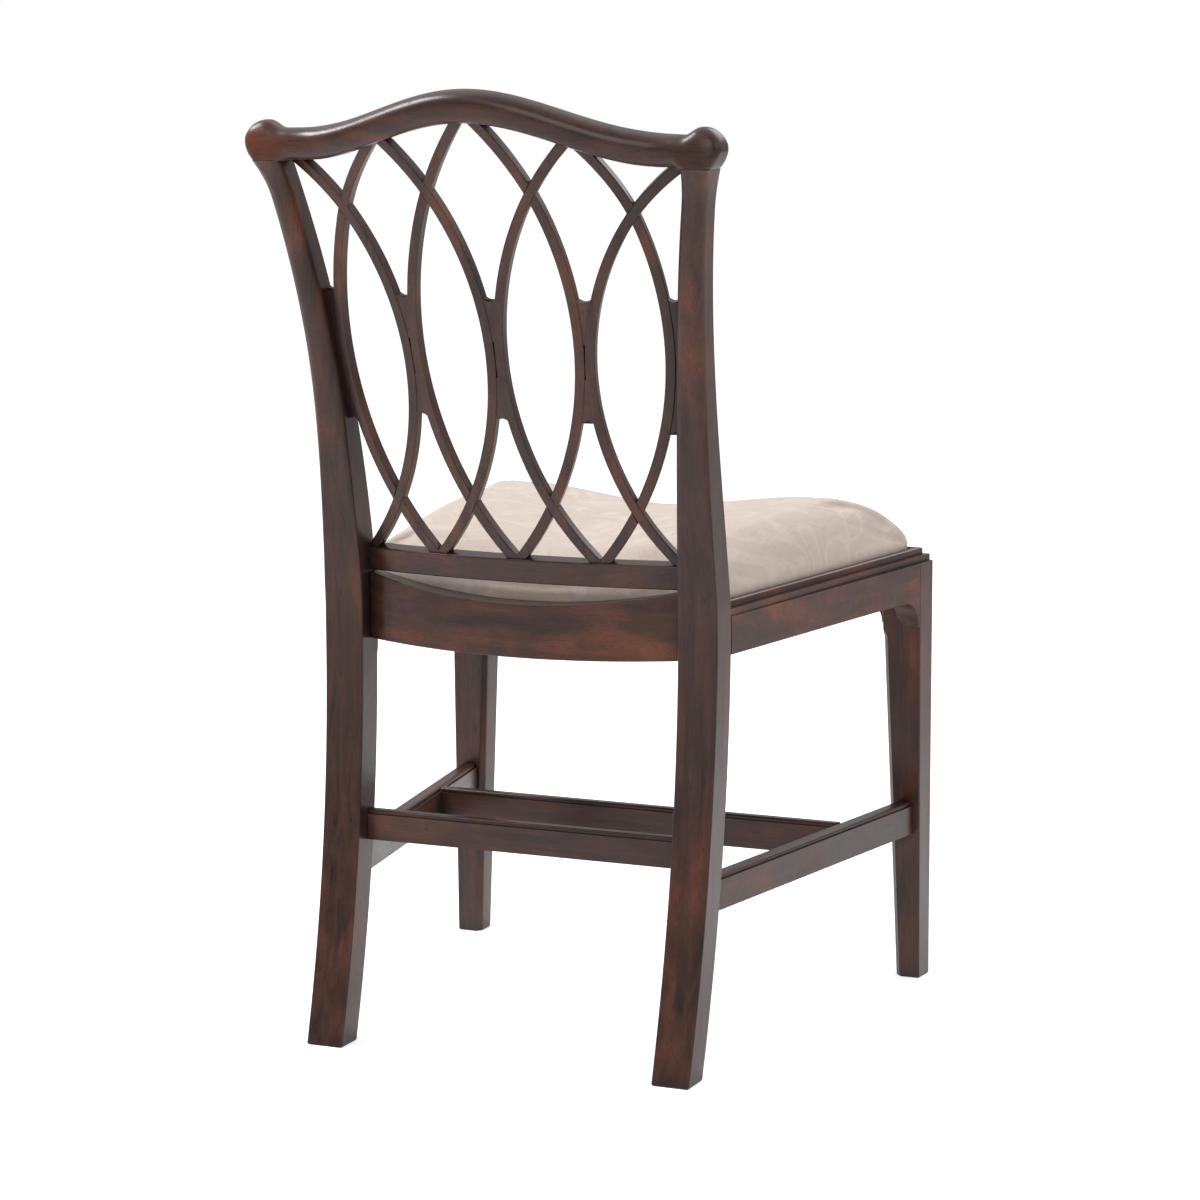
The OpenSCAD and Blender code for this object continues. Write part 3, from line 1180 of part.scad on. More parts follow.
// Offset o moves the whole outline outwards, and swell w only its front and sides
function half_outline(o, w) =
    let (f = [seat_fx, seat_fy], r = [seat_rx, seat_ry], q = seat_corner_r + o + w, m = mould_angle)
    concat(
        [for (k = [1 : edge_parts - 1]) [seat_fx * k / edge_parts, seat_fy - q]],
        [for (k = [0 : 3]) turned(f, q, lerp(-90, m, k / 3))],
        [for (k = [1 : edge_parts - 2]) turned(lerp(f, r, k / (edge_parts - 1)), q, m)],
        [for (k = [0 : 2]) turned(r, q - w * k / 2, lerp(m, rear_turn, k / 2))],
        [for (k = [1 : edge_parts - 3])
            turned([0, seat_arc_mid], seat_rear_r + o, lerp(rear_turn, 90, k / (edge_parts - 2)))]);
function outline(o, w) =
    let (h = half_outline(o, w), n = len(h))
    concat([[0, seat_fy - seat_corner_r - o - w]], h, [[0, seat_arc_mid + seat_rear_r + o]],
        [for (k = [n - 1 : -1 : 0]) [-h[k][0], h[k][1]]]);
seat_mid_y = (seat_y0 + seat_arc_y) / 2;
overhang = 5;                  // the cushion swells over the moulding
overhang_start = 0.8;          // heights above the moulding between which it swells
overhang_end = 9;
overhang_z0 = mould_top + overhang_start;
overhang_z1 = mould_top + overhang_end;
saddle_x = 175;                // the shoulders start here
rear_fall = 12;                // the cushion falls towards the back
function rim_offset(z) = overhang * smooth(range_share(z, overhang_z0, overhang_z1));
function crown_z(x, y) =
    frame_top_z + seat_crown_h + saddle_h * smooth(abs(x) / saddle_x)
    - rear_fall * smooth(range_share(y, seat_mid_y - leg_w, seat_arc_y));
rim_shares = [0, 0.2, 0.5, 1];
rim_heights = [for (s = rim_shares) lerp(overhang_z0, overhang_z1, s)];
dome_steps = 6;
dome_power = 0.92;
round_share = cushion_round / (front_w / 2);
inner_shares = [0.55, 0.3, 0.1];
// Inset t moves every face inwards; z_low is the lowest ring's height
function cushion_rings(t, z_low) = concat(
    [[for (p = outline(-t, 0)) [p[0], p[1], z_low]]],
    [for (z = rim_heights) if (z > z_low + tiny) [for (p = outline(-t, rim_offset(z))) [p[0], p[1], z]]],
    [for (k = [1 : dome_steps]) let (u = k / dome_steps, s = 1 - round_share * u)
        dome_ring(t, s, pow(1 - (1 - u) * (1 - u), dome_power))],
    [for (s = inner_shares) dome_ring(t, s, 1)]);
function dome_ring(t, s, share) =
    [for (p = outline(-t, overhang)) let (x = p[0] * s, y = seat_mid_y + (p[1] - seat_mid_y) * s)
        [x, y, lerp(overhang_z1, crown_z(x, y) - t, share)]];
cover_low = 1;                 // the cover ends just above the rails
foam_z = seat_frame_top + web_t + wrap_gap;
module seat_foam() {
    color(foam_cream) in_place() skin(cushion_rings(cover_t + wrap_gap, foam_z));
}
module seat_cover() {
    color(damask) in_place() difference() {
        skin(cushion_rings(0, frame_top_z + cover_low));
        skin(cushion_rings(cover_t, frame_top_z - over));
    }
}

rear_leg_left();
rear_leg_right();
front_leg_left();
front_leg_right();
crest_rail();
lower_back_rail();
trellis_bar(1);  // trellis_bar_1
trellis_bar(2);  // trellis_bar_2
trellis_bar(3);  // trellis_bar_3
trellis_bar(4);  // trellis_bar_4
trellis_bar(5);  // trellis_bar_5
trellis_bar(6);  // trellis_bar_6
trellis_bar(7);  // trellis_bar_7
trellis_bar(8);  // trellis_bar_8
trellis_spacer(1);  // trellis_spacer_1
trellis_spacer(2);  // trellis_spacer_2
trellis_spacer(3);  // trellis_spacer_3
trellis_spacer(4);  // trellis_spacer_4
trellis_spacer(5);  // trellis_spacer_5
trellis_spacer(6);  // trellis_spacer_6
trellis_spacer(7);  // trellis_spacer_7
trellis_spacer(8);  // trellis_spacer_8
seat_rail_front();
seat_rail_rear();
seat_rail_left();
seat_rail_right();
seat_moulding_front();
seat_moulding_left();
seat_moulding_right();
side_stretcher_left();
side_stretcher_right();
rear_stretcher();
cross_stretcher();
corner_block_front_left();
corner_block_front_right();
corner_block_rear_left();
corner_block_rear_right();
corner_block_screws();
seat_frame_front();
seat_frame_rear();
seat_frame_left();
seat_frame_right();
seat_webbing();
seat_foam();
seat_cover();
dust_cover();
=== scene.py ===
"""Trellis back side chair in mahogany, with a loose upholstered seat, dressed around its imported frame."""
from __future__ import annotations

import logging
import math
from collections.abc import Callable, Sequence
from dataclasses import dataclass, field
from enum import Enum

import bmesh
import bpy
from mathutils import Matrix, Vector

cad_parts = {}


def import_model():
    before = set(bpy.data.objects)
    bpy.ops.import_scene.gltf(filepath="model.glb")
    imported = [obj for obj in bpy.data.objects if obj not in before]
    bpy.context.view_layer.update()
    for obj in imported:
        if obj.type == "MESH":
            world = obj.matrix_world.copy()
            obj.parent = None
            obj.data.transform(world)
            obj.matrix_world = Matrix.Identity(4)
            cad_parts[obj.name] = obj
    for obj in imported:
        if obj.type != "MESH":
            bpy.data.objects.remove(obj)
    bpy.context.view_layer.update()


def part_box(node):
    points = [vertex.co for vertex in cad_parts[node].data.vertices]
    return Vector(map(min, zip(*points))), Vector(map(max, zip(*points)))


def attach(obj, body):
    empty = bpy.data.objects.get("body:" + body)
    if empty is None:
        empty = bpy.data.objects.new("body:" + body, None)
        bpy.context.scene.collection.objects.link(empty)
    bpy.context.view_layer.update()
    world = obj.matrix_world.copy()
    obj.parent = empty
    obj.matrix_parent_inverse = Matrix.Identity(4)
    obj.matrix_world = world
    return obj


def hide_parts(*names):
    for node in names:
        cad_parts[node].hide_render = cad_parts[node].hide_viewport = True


LOG = logging.getLogger("trellis_chair")
MM = 0.001

Colour = tuple[float, float, float]
Ring = list[tuple[float, float, float]]
Flat = tuple[float, float]
Edge = Callable[[float], float]
Inputs = dict[str | int, object]
Socket = bpy.types.NodeSocket
Piece = bpy.types.Object
# The lowest and the highest value that count, then what they become if that isn't 0 and 1.
Range = tuple[float, ...]
WHITE: Colour = (1.0, 1.0, 1.0)


class Body(Enum):
    """The two bodies of the chair."""

    FRAME = "frame"
    SEAT = "seat"


class Grain(Enum):
    """The way the grain runs, as the stretch of the grain's noise along x, y and z."""

    CROSSWISE = (0.05, 1.0, 1.0)
    LENGTHWISE = (1.0, 0.05, 1.0)
    UPRIGHT = (1.0, 1.0, 0.05)

    def stretched(self, along: float, across: float) -> tuple[float, ...]:
        """Stretches along the grain and across it, in the order of the axes."""
        return tuple(across if s == 1.0 else along for s in self.value)


class Side(Enum):
    """A side of the chair, as the sign of its x."""

    LEFT = 1
    RIGHT = -1


def lerp(a: float, b: float, t: float) -> float:
    """Value at share t of the way from a to b."""
    return a + (b - a) * t


def share(v: float, a: float, b: float) -> float:
    """Share of the way from a to b at which v lies, held between 0 and 1."""
    return max(0.0, min(1.0, (v - a) / (b - a)))


def smooth(t: float) -> float:
    """Share t eased at both of its ends."""
    c = max(0.0, min(1.0, t))
    return c * c * (3 - 2 * c)


def steps(lo: float, hi: float, parts: int) -> list[float]:
    """Evenly spaced values from lo to hi, both included."""
    return [lerp(lo, hi, k / parts) for k in range(parts + 1)]


def rgba(colour: Colour) -> tuple[float, float, float, float]:
    """Opaque colour with its alpha."""
    return (*colour, 1.0)


def scaled_colour(colour: Colour, factor: float, lift: float = 0.0) -> Colour:
    """Colour made lighter or darker by a factor and a lift."""
    return tuple(factor * c + lift for c in colour)


@dataclass(frozen=True)
class Noise:
    """One noise: its scale per metre, its detail, its roughness and its distortion."""

    scale: float
    detail: float = 2.0
    rough: float = 0.5
    distortion: float = 0.0


@dataclass(frozen=True)
class Wave:
    """Threads of one direction: their scale per metre, their distortion and its detail."""

    scale: float
    distortion: float
    detail: float = 2.0


# Finishes


class Graph:
    """Small helper that adds and links the nodes of a material or a world."""

    def __init__(self, owner: bpy.types.Material | bpy.types.World) -> None:
        """Empties the owner's node tree.

        Args:
            owner: The material or world that gets the nodes.
        """
        owner.use_nodes = True
        self.owner = owner
        self.tree = owner.node_tree
        self.tree.nodes.clear()

    def add(self, kind: str, inputs: Inputs | None = None, **attributes: object) -> bpy.types.Node:
        """Adds a node.

        Args:
            kind: The node's type without its ShaderNode prefix.
            inputs: Values or source sockets by input name or number.
            **attributes: The node's own settings.

        Returns:
            The new node.
        """
        node = self.tree.nodes.new("ShaderNode" + kind)
        for key, value in attributes.items():
            setattr(node, key, value)
        for key, value in (inputs or {}).items():
            if isinstance(value, Socket):
                self.tree.links.new(value, node.inputs[key])
            else:
                node.inputs[key].default_value = value
        return node

    def place(self) -> Socket:
        """Coordinates in the object's own axes, in metres."""
        return self.add("TexCoord").outputs["Object"]

    def noise(self, vector: Socket, noise: Noise) -> Socket:
        """Noise between about 0 and 1.

        Args:
            vector: Coordinates that it follows.
            noise: The noise's settings.

        Returns:
            The noise's socket.
        """
        inputs = {"Vector": vector, "Scale": noise.scale, "Detail": noise.detail, "Roughness": noise.rough,
                  "Distortion": noise.distortion}
        return self.add("TexNoise", inputs).outputs[0]

    def wave(self, vector: Socket, wave: Wave, direction: str) -> Socket:
        """Height of threads that follow each other along an axis.

        Args:
            vector: Coordinates that it follows.
            wave: The threads' settings.
            direction: Axis along which the threads follow each other, X or Y.

        Returns:
            The height's socket.
        """
        inputs = {"Vector": vector, "Scale": wave.scale, "Distortion": wave.distortion,
                  "Detail": wave.detail}
        return self.add("TexWave", inputs, bands_direction=direction).outputs["Fac"]

    def span(self, value: object, lo: float, hi: float, out_lo: object = 0.0,
             out_hi: object = 1.0) -> Socket:
        """Value mapped from lo to hi onto another span, held at its ends."""
        return self.add("MapRange", {0: value, 1: lo, 2: hi, 3: out_lo, 4: out_hi}).outputs[0]

    def math(self, operation: str, a: object, b: object) -> Socket:
        """Result of one arithmetic step."""
        return self.add("Math", {0: a, 1: b}, operation=operation).outputs[0]

    def times(self, a: object, b: object) -> Socket:
        """Product of two values."""
        return self.math("MULTIPLY", a, b)

    def vector(self, operation: str, a: object, b: object) -> Socket:
        """Result of one step on vectors."""
        return self.add("VectorMath", {0: a, 1: b}, operation=operation).outputs[0]

    def mix(self, factor: object, a: Socket | Colour, b: Colour) -> Socket:
        """Colour between a and b by a factor."""
        first = a if isinstance(a, Socket) else rgba(a)
        return self.add("Mix", {0: factor, 6: first, 7: rgba(b)}, data_type="RGBA").outputs[2]

    def scaled(self, vector: Socket, scale: Sequence[float]) -> Socket:
        """Coordinates stretched along the three axes."""
        return self.add("Mapping", {"Vector": vector, "Scale": tuple(scale)}).outputs[0]

    def cells(self, vector: Socket, scale: float) -> bpy.types.NodeOutputs:
        """Distance and colour of scattered cells."""
        return self.add("TexVoronoi", {"Vector": vector, "Scale": scale, "Randomness": 1.0}).outputs

    def openness(self, distance: float, inside: bool) -> Socket:
        """How open the space around the surface is, or inside of it, within a distance in metres."""
        return self.add("AmbientOcclusion", {"Distance": distance}, samples=6, inside=inside).outputs["AO"]

    def bump(self, height: Socket, depth: float, strength: float, normal: Socket | None = None) -> Socket:
        """Normal bumped by a height field of a depth in metres.

        Args:
            height: Socket with the height field.
            depth: Depth of the height field in metres.
            strength: Share of the bump that counts.
            normal: Normal that it adds to, or None for the plain one.

        Returns:
            The bumped normal.
        """
        inputs: Inputs = {"Height": height, "Distance": depth, "Strength": strength}
        if normal is not None:
            inputs["Normal"] = normal
        return self.add("Bump", inputs).outputs[0]

    def surface(self, inputs: Inputs) -> bpy.types.Material:
        """Ends the tree in a principled surface with the given inputs and hands over its material.

        Args:
            inputs: Values or source sockets by input name.

        Returns:
            The material that owns the tree.
        """
        shader = self.add("BsdfPrincipled", inputs)
        self.add("OutputMaterial", {"Surface": shader.outputs[0]})
        return self.owner


@dataclass(frozen=True)
class Stain:
    """Colours of one tone of the mahogany, and the most that its red glow covers."""

    dark: Colour
    mid: Colour
    red: Colour
    red_share: float


@dataclass(frozen=True)
class Mahogany:
    """Stained, waxed and rubbed mahogany with old marks, painted shade in corners and arrises lightened by
    rubbing and painted highlight.
    """

    tone: str
    grain: Grain
    stain: Stain
    # Dark colour of pores and marks, and also of the painted shade in corners.
    grime_and_shade: Colour = (0.010, 0.006, 0.005)
    roughness: float = 0.34
    specular: float = 0.34
    coat: float = 0.24
    coat_roughness: float = 0.20
    coat_ior: float = 1.45
    figure: Noise = Noise(95, 5, 0.62, 0.8)
    ribbon: Noise = Noise(34, 2, 0.5, 0.6)
    pores: Noise = Noise(900, 2, 0.6)
    patch: Noise = Noise(15, 2, 0.55)
    cloud: Noise = Noise(23, 3, 0.6)
    waves: Noise = Noise(42, 2, 0.5)
    patch_stretch: float = 0.4
    crevice_shade_reach: float = 0.022
    edge_reach: float = 0.0035
    wave_depth: float = 0.0007
    pore_depth: float = 0.00006
    mark_depth: float = 0.0006
    mark_cover: float = 0.85
    # Factor and lift of the arris colour, for rubbing and painted highlight alike.
    worn_and_lit: tuple[float, float] = (1.9, 0.012)
    figure_range: Range = (0.32, 0.70)
    patch_range: Range = (0.42, 0.60)
    ribbon_range: Range = (0.38, 0.60)
    cloud_range: Range = (0.36, 0.66, 0.45, 0.0)
    pore_range: Range = (0.28, 0.48, 0.55, 0.0)
    crevice_shade_range: Range = (0.35, 0.92, 0.85, 0.0)
    edge_range: Range = (0.50, 0.12)
    wear_and_highlight_range: Range = (0.38, 0.62, 0.10, 0.60)
    figure_shine: Range = (0.3, 0.7, -0.05, 0.06)
    patch_shine: Range = (0.35, 0.65, -0.05, 0.07)
    stroke_stretch: float = 2.6
    stroke_scale: float = 17.0
    stroke_range: Range = (0.035, 0.055, 1.0, 0.0)
    stroke_limit: float = 0.52
    dot_scale: float = 31.0
    dot_range: Range = (0.024, 0.036, 1.0, 0.0)
    dot_limit: float = 0.58

    @property
    def name(self) -> str:
        """Name of the material."""
        return f"{self.tone}_{self.grain.name.lower()}"

    def build(self) -> bpy.types.Material:
        """Makes the material.

        Returns:
            The finished material.
        """
        g = Graph(bpy.data.materials.new(self.name))
        stain = self.stain
        place = g.place()
        run = g.scaled(place, self.grain.value)
        figure = g.noise(run, self.figure)
        ribbon = g.noise(run, self.ribbon)
        pores = g.noise(run, self.pores)
        patch = g.noise(g.scaled(place, self.grain.stretched(self.patch_stretch, 1.0)), self.patch)
        cloud = g.noise(place, self.cloud)
        wood = g.mix(g.span(figure, *self.figure_range), stain.dark, stain.mid)
        glow = g.times(g.span(patch, *self.patch_range), g.span(ribbon, *self.ribbon_range))
        wood = g.mix(g.times(glow, stain.red_share), wood, stain.red)
        wood = g.mix(g.span(cloud, *self.cloud_range), wood, stain.dark)
        wood = g.mix(g.span(pores, *self.pore_range), wood, self.grime_and_shade)
        marks = self.marks(g, place)
        wood = g.mix(g.times(marks, self.mark_cover), wood, self.grime_and_shade)
        # Painted shade: corners, joints and crevices darkened by ambient occlusion.
        corners = g.openness(self.crevice_shade_reach, inside=False)
        wood = g.mix(g.span(corners, *self.crevice_shade_range), wood, self.grime_and_shade)
        # Partly rubbing and partly painted highlight: convex arrises lightened towards a brighter mid tone.
        edges = g.openness(self.edge_reach, inside=True)
        wear_and_highlight = g.times(g.span(edges, *self.edge_range), g.span(cloud, *self.wear_and_highlight_range))
        wood = g.mix(wear_and_highlight, wood, scaled_colour(stain.mid, *self.worn_and_lit))
        shine = g.math("ADD", g.span(figure, *self.figure_shine), g.span(patch, *self.patch_shine))
        relief = g.bump(g.noise(place, self.waves), self.wave_depth, 0.5)
        relief = g.bump(pores, self.pore_depth, 0.6, relief)
        relief = g.bump(g.math("SUBTRACT", 1.0, marks), self.mark_depth, 0.7, relief)
        return g.surface({"Base Color": wood, "Roughness": g.math("ADD", shine, self.roughness),
                          "Normal": relief, "Specular IOR Level": self.specular, "Coat Weight": self.coat,
                          "Coat Roughness": self.coat_roughness, "Coat IOR": self.coat_ior})

    def marks(self, g: Graph, place: Socket) -> Socket:
        """Sparse small dents and short dark strokes.

        Args:
            g: The graph that gets the nodes.
            place: The coordinates of the surface.

        Returns:
            A socket that is 1 in a mark and 0 elsewhere.
        """
        strokes = g.cells(g.scaled(place, self.grain.stretched(1.0, self.stroke_stretch)), self.stroke_scale)
        stroke_pick = g.add("SeparateColor", {0: strokes["Color"]}).outputs[0]
        stroke = g.span(strokes["Distance"], *self.stroke_range)
        dots = g.cells(place, self.dot_scale)
        dot_pick = g.add("SeparateColor", {0: dots["Color"]}).outputs[1]
        dot = g.span(dots["Distance"], *self.dot_range)
        return g.math("MAXIMUM", g.times(stroke, g.math("GREATER_THAN", stroke_pick, self.stroke_limit)),
                      g.times(dot, g.math("GREATER_THAN", dot_pick, self.dot_limit)))


@dataclass(frozen=True)
class PlainTimber:
    """Planed, unfinished hardwood of the hidden members."""

    name: str
    grain: Grain
    light: Colour = (0.50, 0.34, 0.20)
    deep: Colour = (0.33, 0.20, 0.11)
    figure: Noise = Noise(120, 5, 0.6, 0.5)
    flecks: Noise = Noise(700, 1)
    fleck_depth: float = 0.00008
    figure_range: Range = (0.35, 0.68)
    fleck_range: Range = (0.30, 0.42, 0.45, 0.0)
    roughness: Range = (0.3, 0.7, 0.62, 0.74)

    def build(self) -> bpy.types.Material:
        """Makes the material.

        Returns:
            The finished material.
        """
        g = Graph(bpy.data.materials.new(self.name))
        run = g.scaled(g.place(), self.grain.value)
        figure = g.noise(run, self.figure)
        flecks = g.noise(run, self.flecks)
        wood = g.mix(g.span(figure, *self.figure_range), self.light, self.deep)
        wood = g.mix(g.span(flecks, *self.fleck_range), wood, self.deep)
        return g.surface({"Base Color": wood, "Roughness": g.span(figure, *self.roughness),
                          "Normal": g.bump(flecks, self.fleck_depth, 0.6)})


@dataclass(frozen=True)
class Damask:
    """Woven damask: a calm ground, large, faint scrolls and leaves in the same yarn, and a fine weave."""

    name: str
    ground: Colour
    motif: Colour
    shade: Colour
    warp: Wave = Wave(330.0, 0.35, 1.0)
    weft: Wave = Wave(300.0, 0.35, 1.0)
    slub: Noise = Noise(330)
    tone: Noise = Noise(9)
    scroll: Noise = Noise(11, 0.0, 0.5, 0.5)
    spray: Noise = Noise(9, 1.0)
    bend_scale: float = 7.0
    bend: tuple[float, float, float] = (0.14, 0.14, 0.04)
    leaf_scale: float = 31.0
    turns: float = 5.0
    leaf_stretch: tuple[float, float, float] = (1.0, 0.55, 1.0)
    slub_stretch: tuple[float, float, float] = (1.0, 0.14, 1.0)
    slub_range: Range = (0.52, 0.72, 0.0, 0.30)
    tone_range: Range = (0.3, 0.7, 0.0, 0.12)
    line_range: Range = (0.34, 0.44)
    leaf_range: Range = (0.40, 0.28)
    spray_range: Range = (0.44, 0.56)
    line_share: float = 0.6
    warp_share: float = 0.6
    weft_share: float = 0.4
    roughness: Range = (0.0, 1.0, 0.66, 0.56)
    thread_depth: float = 0.00018
    motif_depth: float = 0.00012
    sheen: float = 0.12
    specular: float = 0.26

    def build(self) -> bpy.types.Material:
        """Makes the material.

        Returns:
            The finished material.
        """
        g = Graph(bpy.data.materials.new(self.name))
        place = g.place()
        figure = self.figure(g, place)
        slub = g.noise(g.scaled(place, self.slub_stretch), self.slub)
        yarn = g.mix(figure, self.ground, self.motif)
        yarn = g.mix(g.span(slub, *self.slub_range), yarn, self.shade)
        yarn = g.mix(g.span(g.noise(place, self.tone), *self.tone_range), yarn, self.shade)
        warp, weft = g.wave(place, self.warp, "X"), g.wave(place, self.weft, "Y")
        thread = g.math("ADD", g.times(warp, self.warp_share), g.times(weft, self.weft_share))
        relief = g.bump(figure, self.motif_depth, 0.4, g.bump(thread, self.thread_depth, 0.5))
        return g.surface({"Base Color": yarn, "Roughness": g.span(figure, *self.roughness),
                          "Normal": relief, "Sheen Weight": self.sheen, "Sheen Roughness": 0.5,
                          "Specular IOR Level": self.specular})

    def figure(self, g: Graph, place: Socket) -> Socket:
        """Broad scrolls with leaves that branch from them, as a share of the lighter weave.

        Args:
            g: The graph that gets the nodes.
            place: The coordinates of the surface.

        Returns:
            A socket that is 1 on the motif and 0 on the ground, soft at its edges.
        """
        noise = g.add("TexNoise", {"Vector": place, "Scale": self.bend_scale, "Detail": 1.0})
        drift = g.vector("SUBTRACT", noise.outputs["Color"], (0.5, 0.5, 0.5))
        drift = g.vector("MULTIPLY", drift, self.bend)
        bent = g.vector("ADD", place, drift)
        lines = g.math("PINGPONG", g.times(g.noise(bent, self.scroll), self.turns), 0.5)
        leaf = g.add("TexVoronoi", {"Vector": g.scaled(bent, self.leaf_stretch), "Scale": self.leaf_scale,
                                    "Randomness": 0.9, "Smoothness": 0.35}, feature="SMOOTH_F1")
        leaves = g.span(leaf.outputs["Distance"], *self.leaf_range)
        sprays = g.times(leaves, g.span(g.noise(place, self.spray), *self.spray_range))
        return g.math("MAXIMUM", sprays, g.times(g.span(lines, *self.line_range), self.line_share))


@dataclass(frozen=True)
class Cloth:
    """Plain woven cloth, such as cambric or jute."""

    name: str
    colour: Colour
    thread: float
    roughness: float = 0.85
    weave: float = 0.314
    light: Noise = Noise(60, 3)
    depth: float = 0.0003
    light_range: Range = (0.3, 0.7)
    gap_range: Range = (0.0, 0.5, 0.45, 0.0)
    dimmed: float = 0.72
    gap_shade: float = 0.35

    def build(self) -> bpy.types.Material:
        """Makes the material.

        Returns:
            The finished material.
        """
        g = Graph(bpy.data.materials.new(self.name))
        place = g.place()
        wave = Wave(self.weave / self.thread, 0.6)
        weave = g.times(g.wave(place, wave, "X"), g.wave(place, wave, "Y"))
        light = g.noise(place, self.light)
        body = g.mix(g.span(light, *self.light_range), self.colour, scaled_colour(self.colour, self.dimmed))
        body = g.mix(g.span(weave, *self.gap_range), body, scaled_colour(self.colour, self.gap_shade))
        return g.surface({"Base Color": body, "Roughness": self.roughness,
                          "Normal": g.bump(weave, self.depth, 0.7)})


@dataclass(frozen=True)
class ScrewSteel:
    """Plated steel of the screws."""

    name: str
    plate: Colour = (0.55, 0.50, 0.40)
    dull: Colour = (0.36, 0.31, 0.24)
    tarnish: Noise = Noise(300, 3)
    dull_range: Range = (0.35, 0.65)
    roughness: Range = (0.3, 0.7, 0.28, 0.46)

    def build(self) -> bpy.types.Material:
        """Makes the material.

        Returns:
            The finished material.
        """
        g = Graph(bpy.data.materials.new(self.name))
        tarnish = g.noise(g.place(), self.tarnish)
        plating = g.mix(g.span(tarnish, *self.dull_range), self.plate, self.dull)
        return g.surface({"Base Color": plating, "Metallic": 1.0,
                          "Roughness": g.span(tarnish, *self.roughness)})


Finish = Mahogany | PlainTimber | Damask | Cloth | ScrewSteel

STAINS = {
    "mahogany_dark": Stain((0.022, 0.011, 0.008), (0.080, 0.030, 0.020), (0.180, 0.050, 0.024), 0.60),
    "mahogany_mid": Stain((0.026, 0.012, 0.009), (0.092, 0.034, 0.021), (0.215, 0.058, 0.024), 0.75),
    "mahogany_red": Stain((0.025, 0.013, 0.010), (0.085, 0.034, 0.024), (0.180, 0.055, 0.028), 0.60),
}


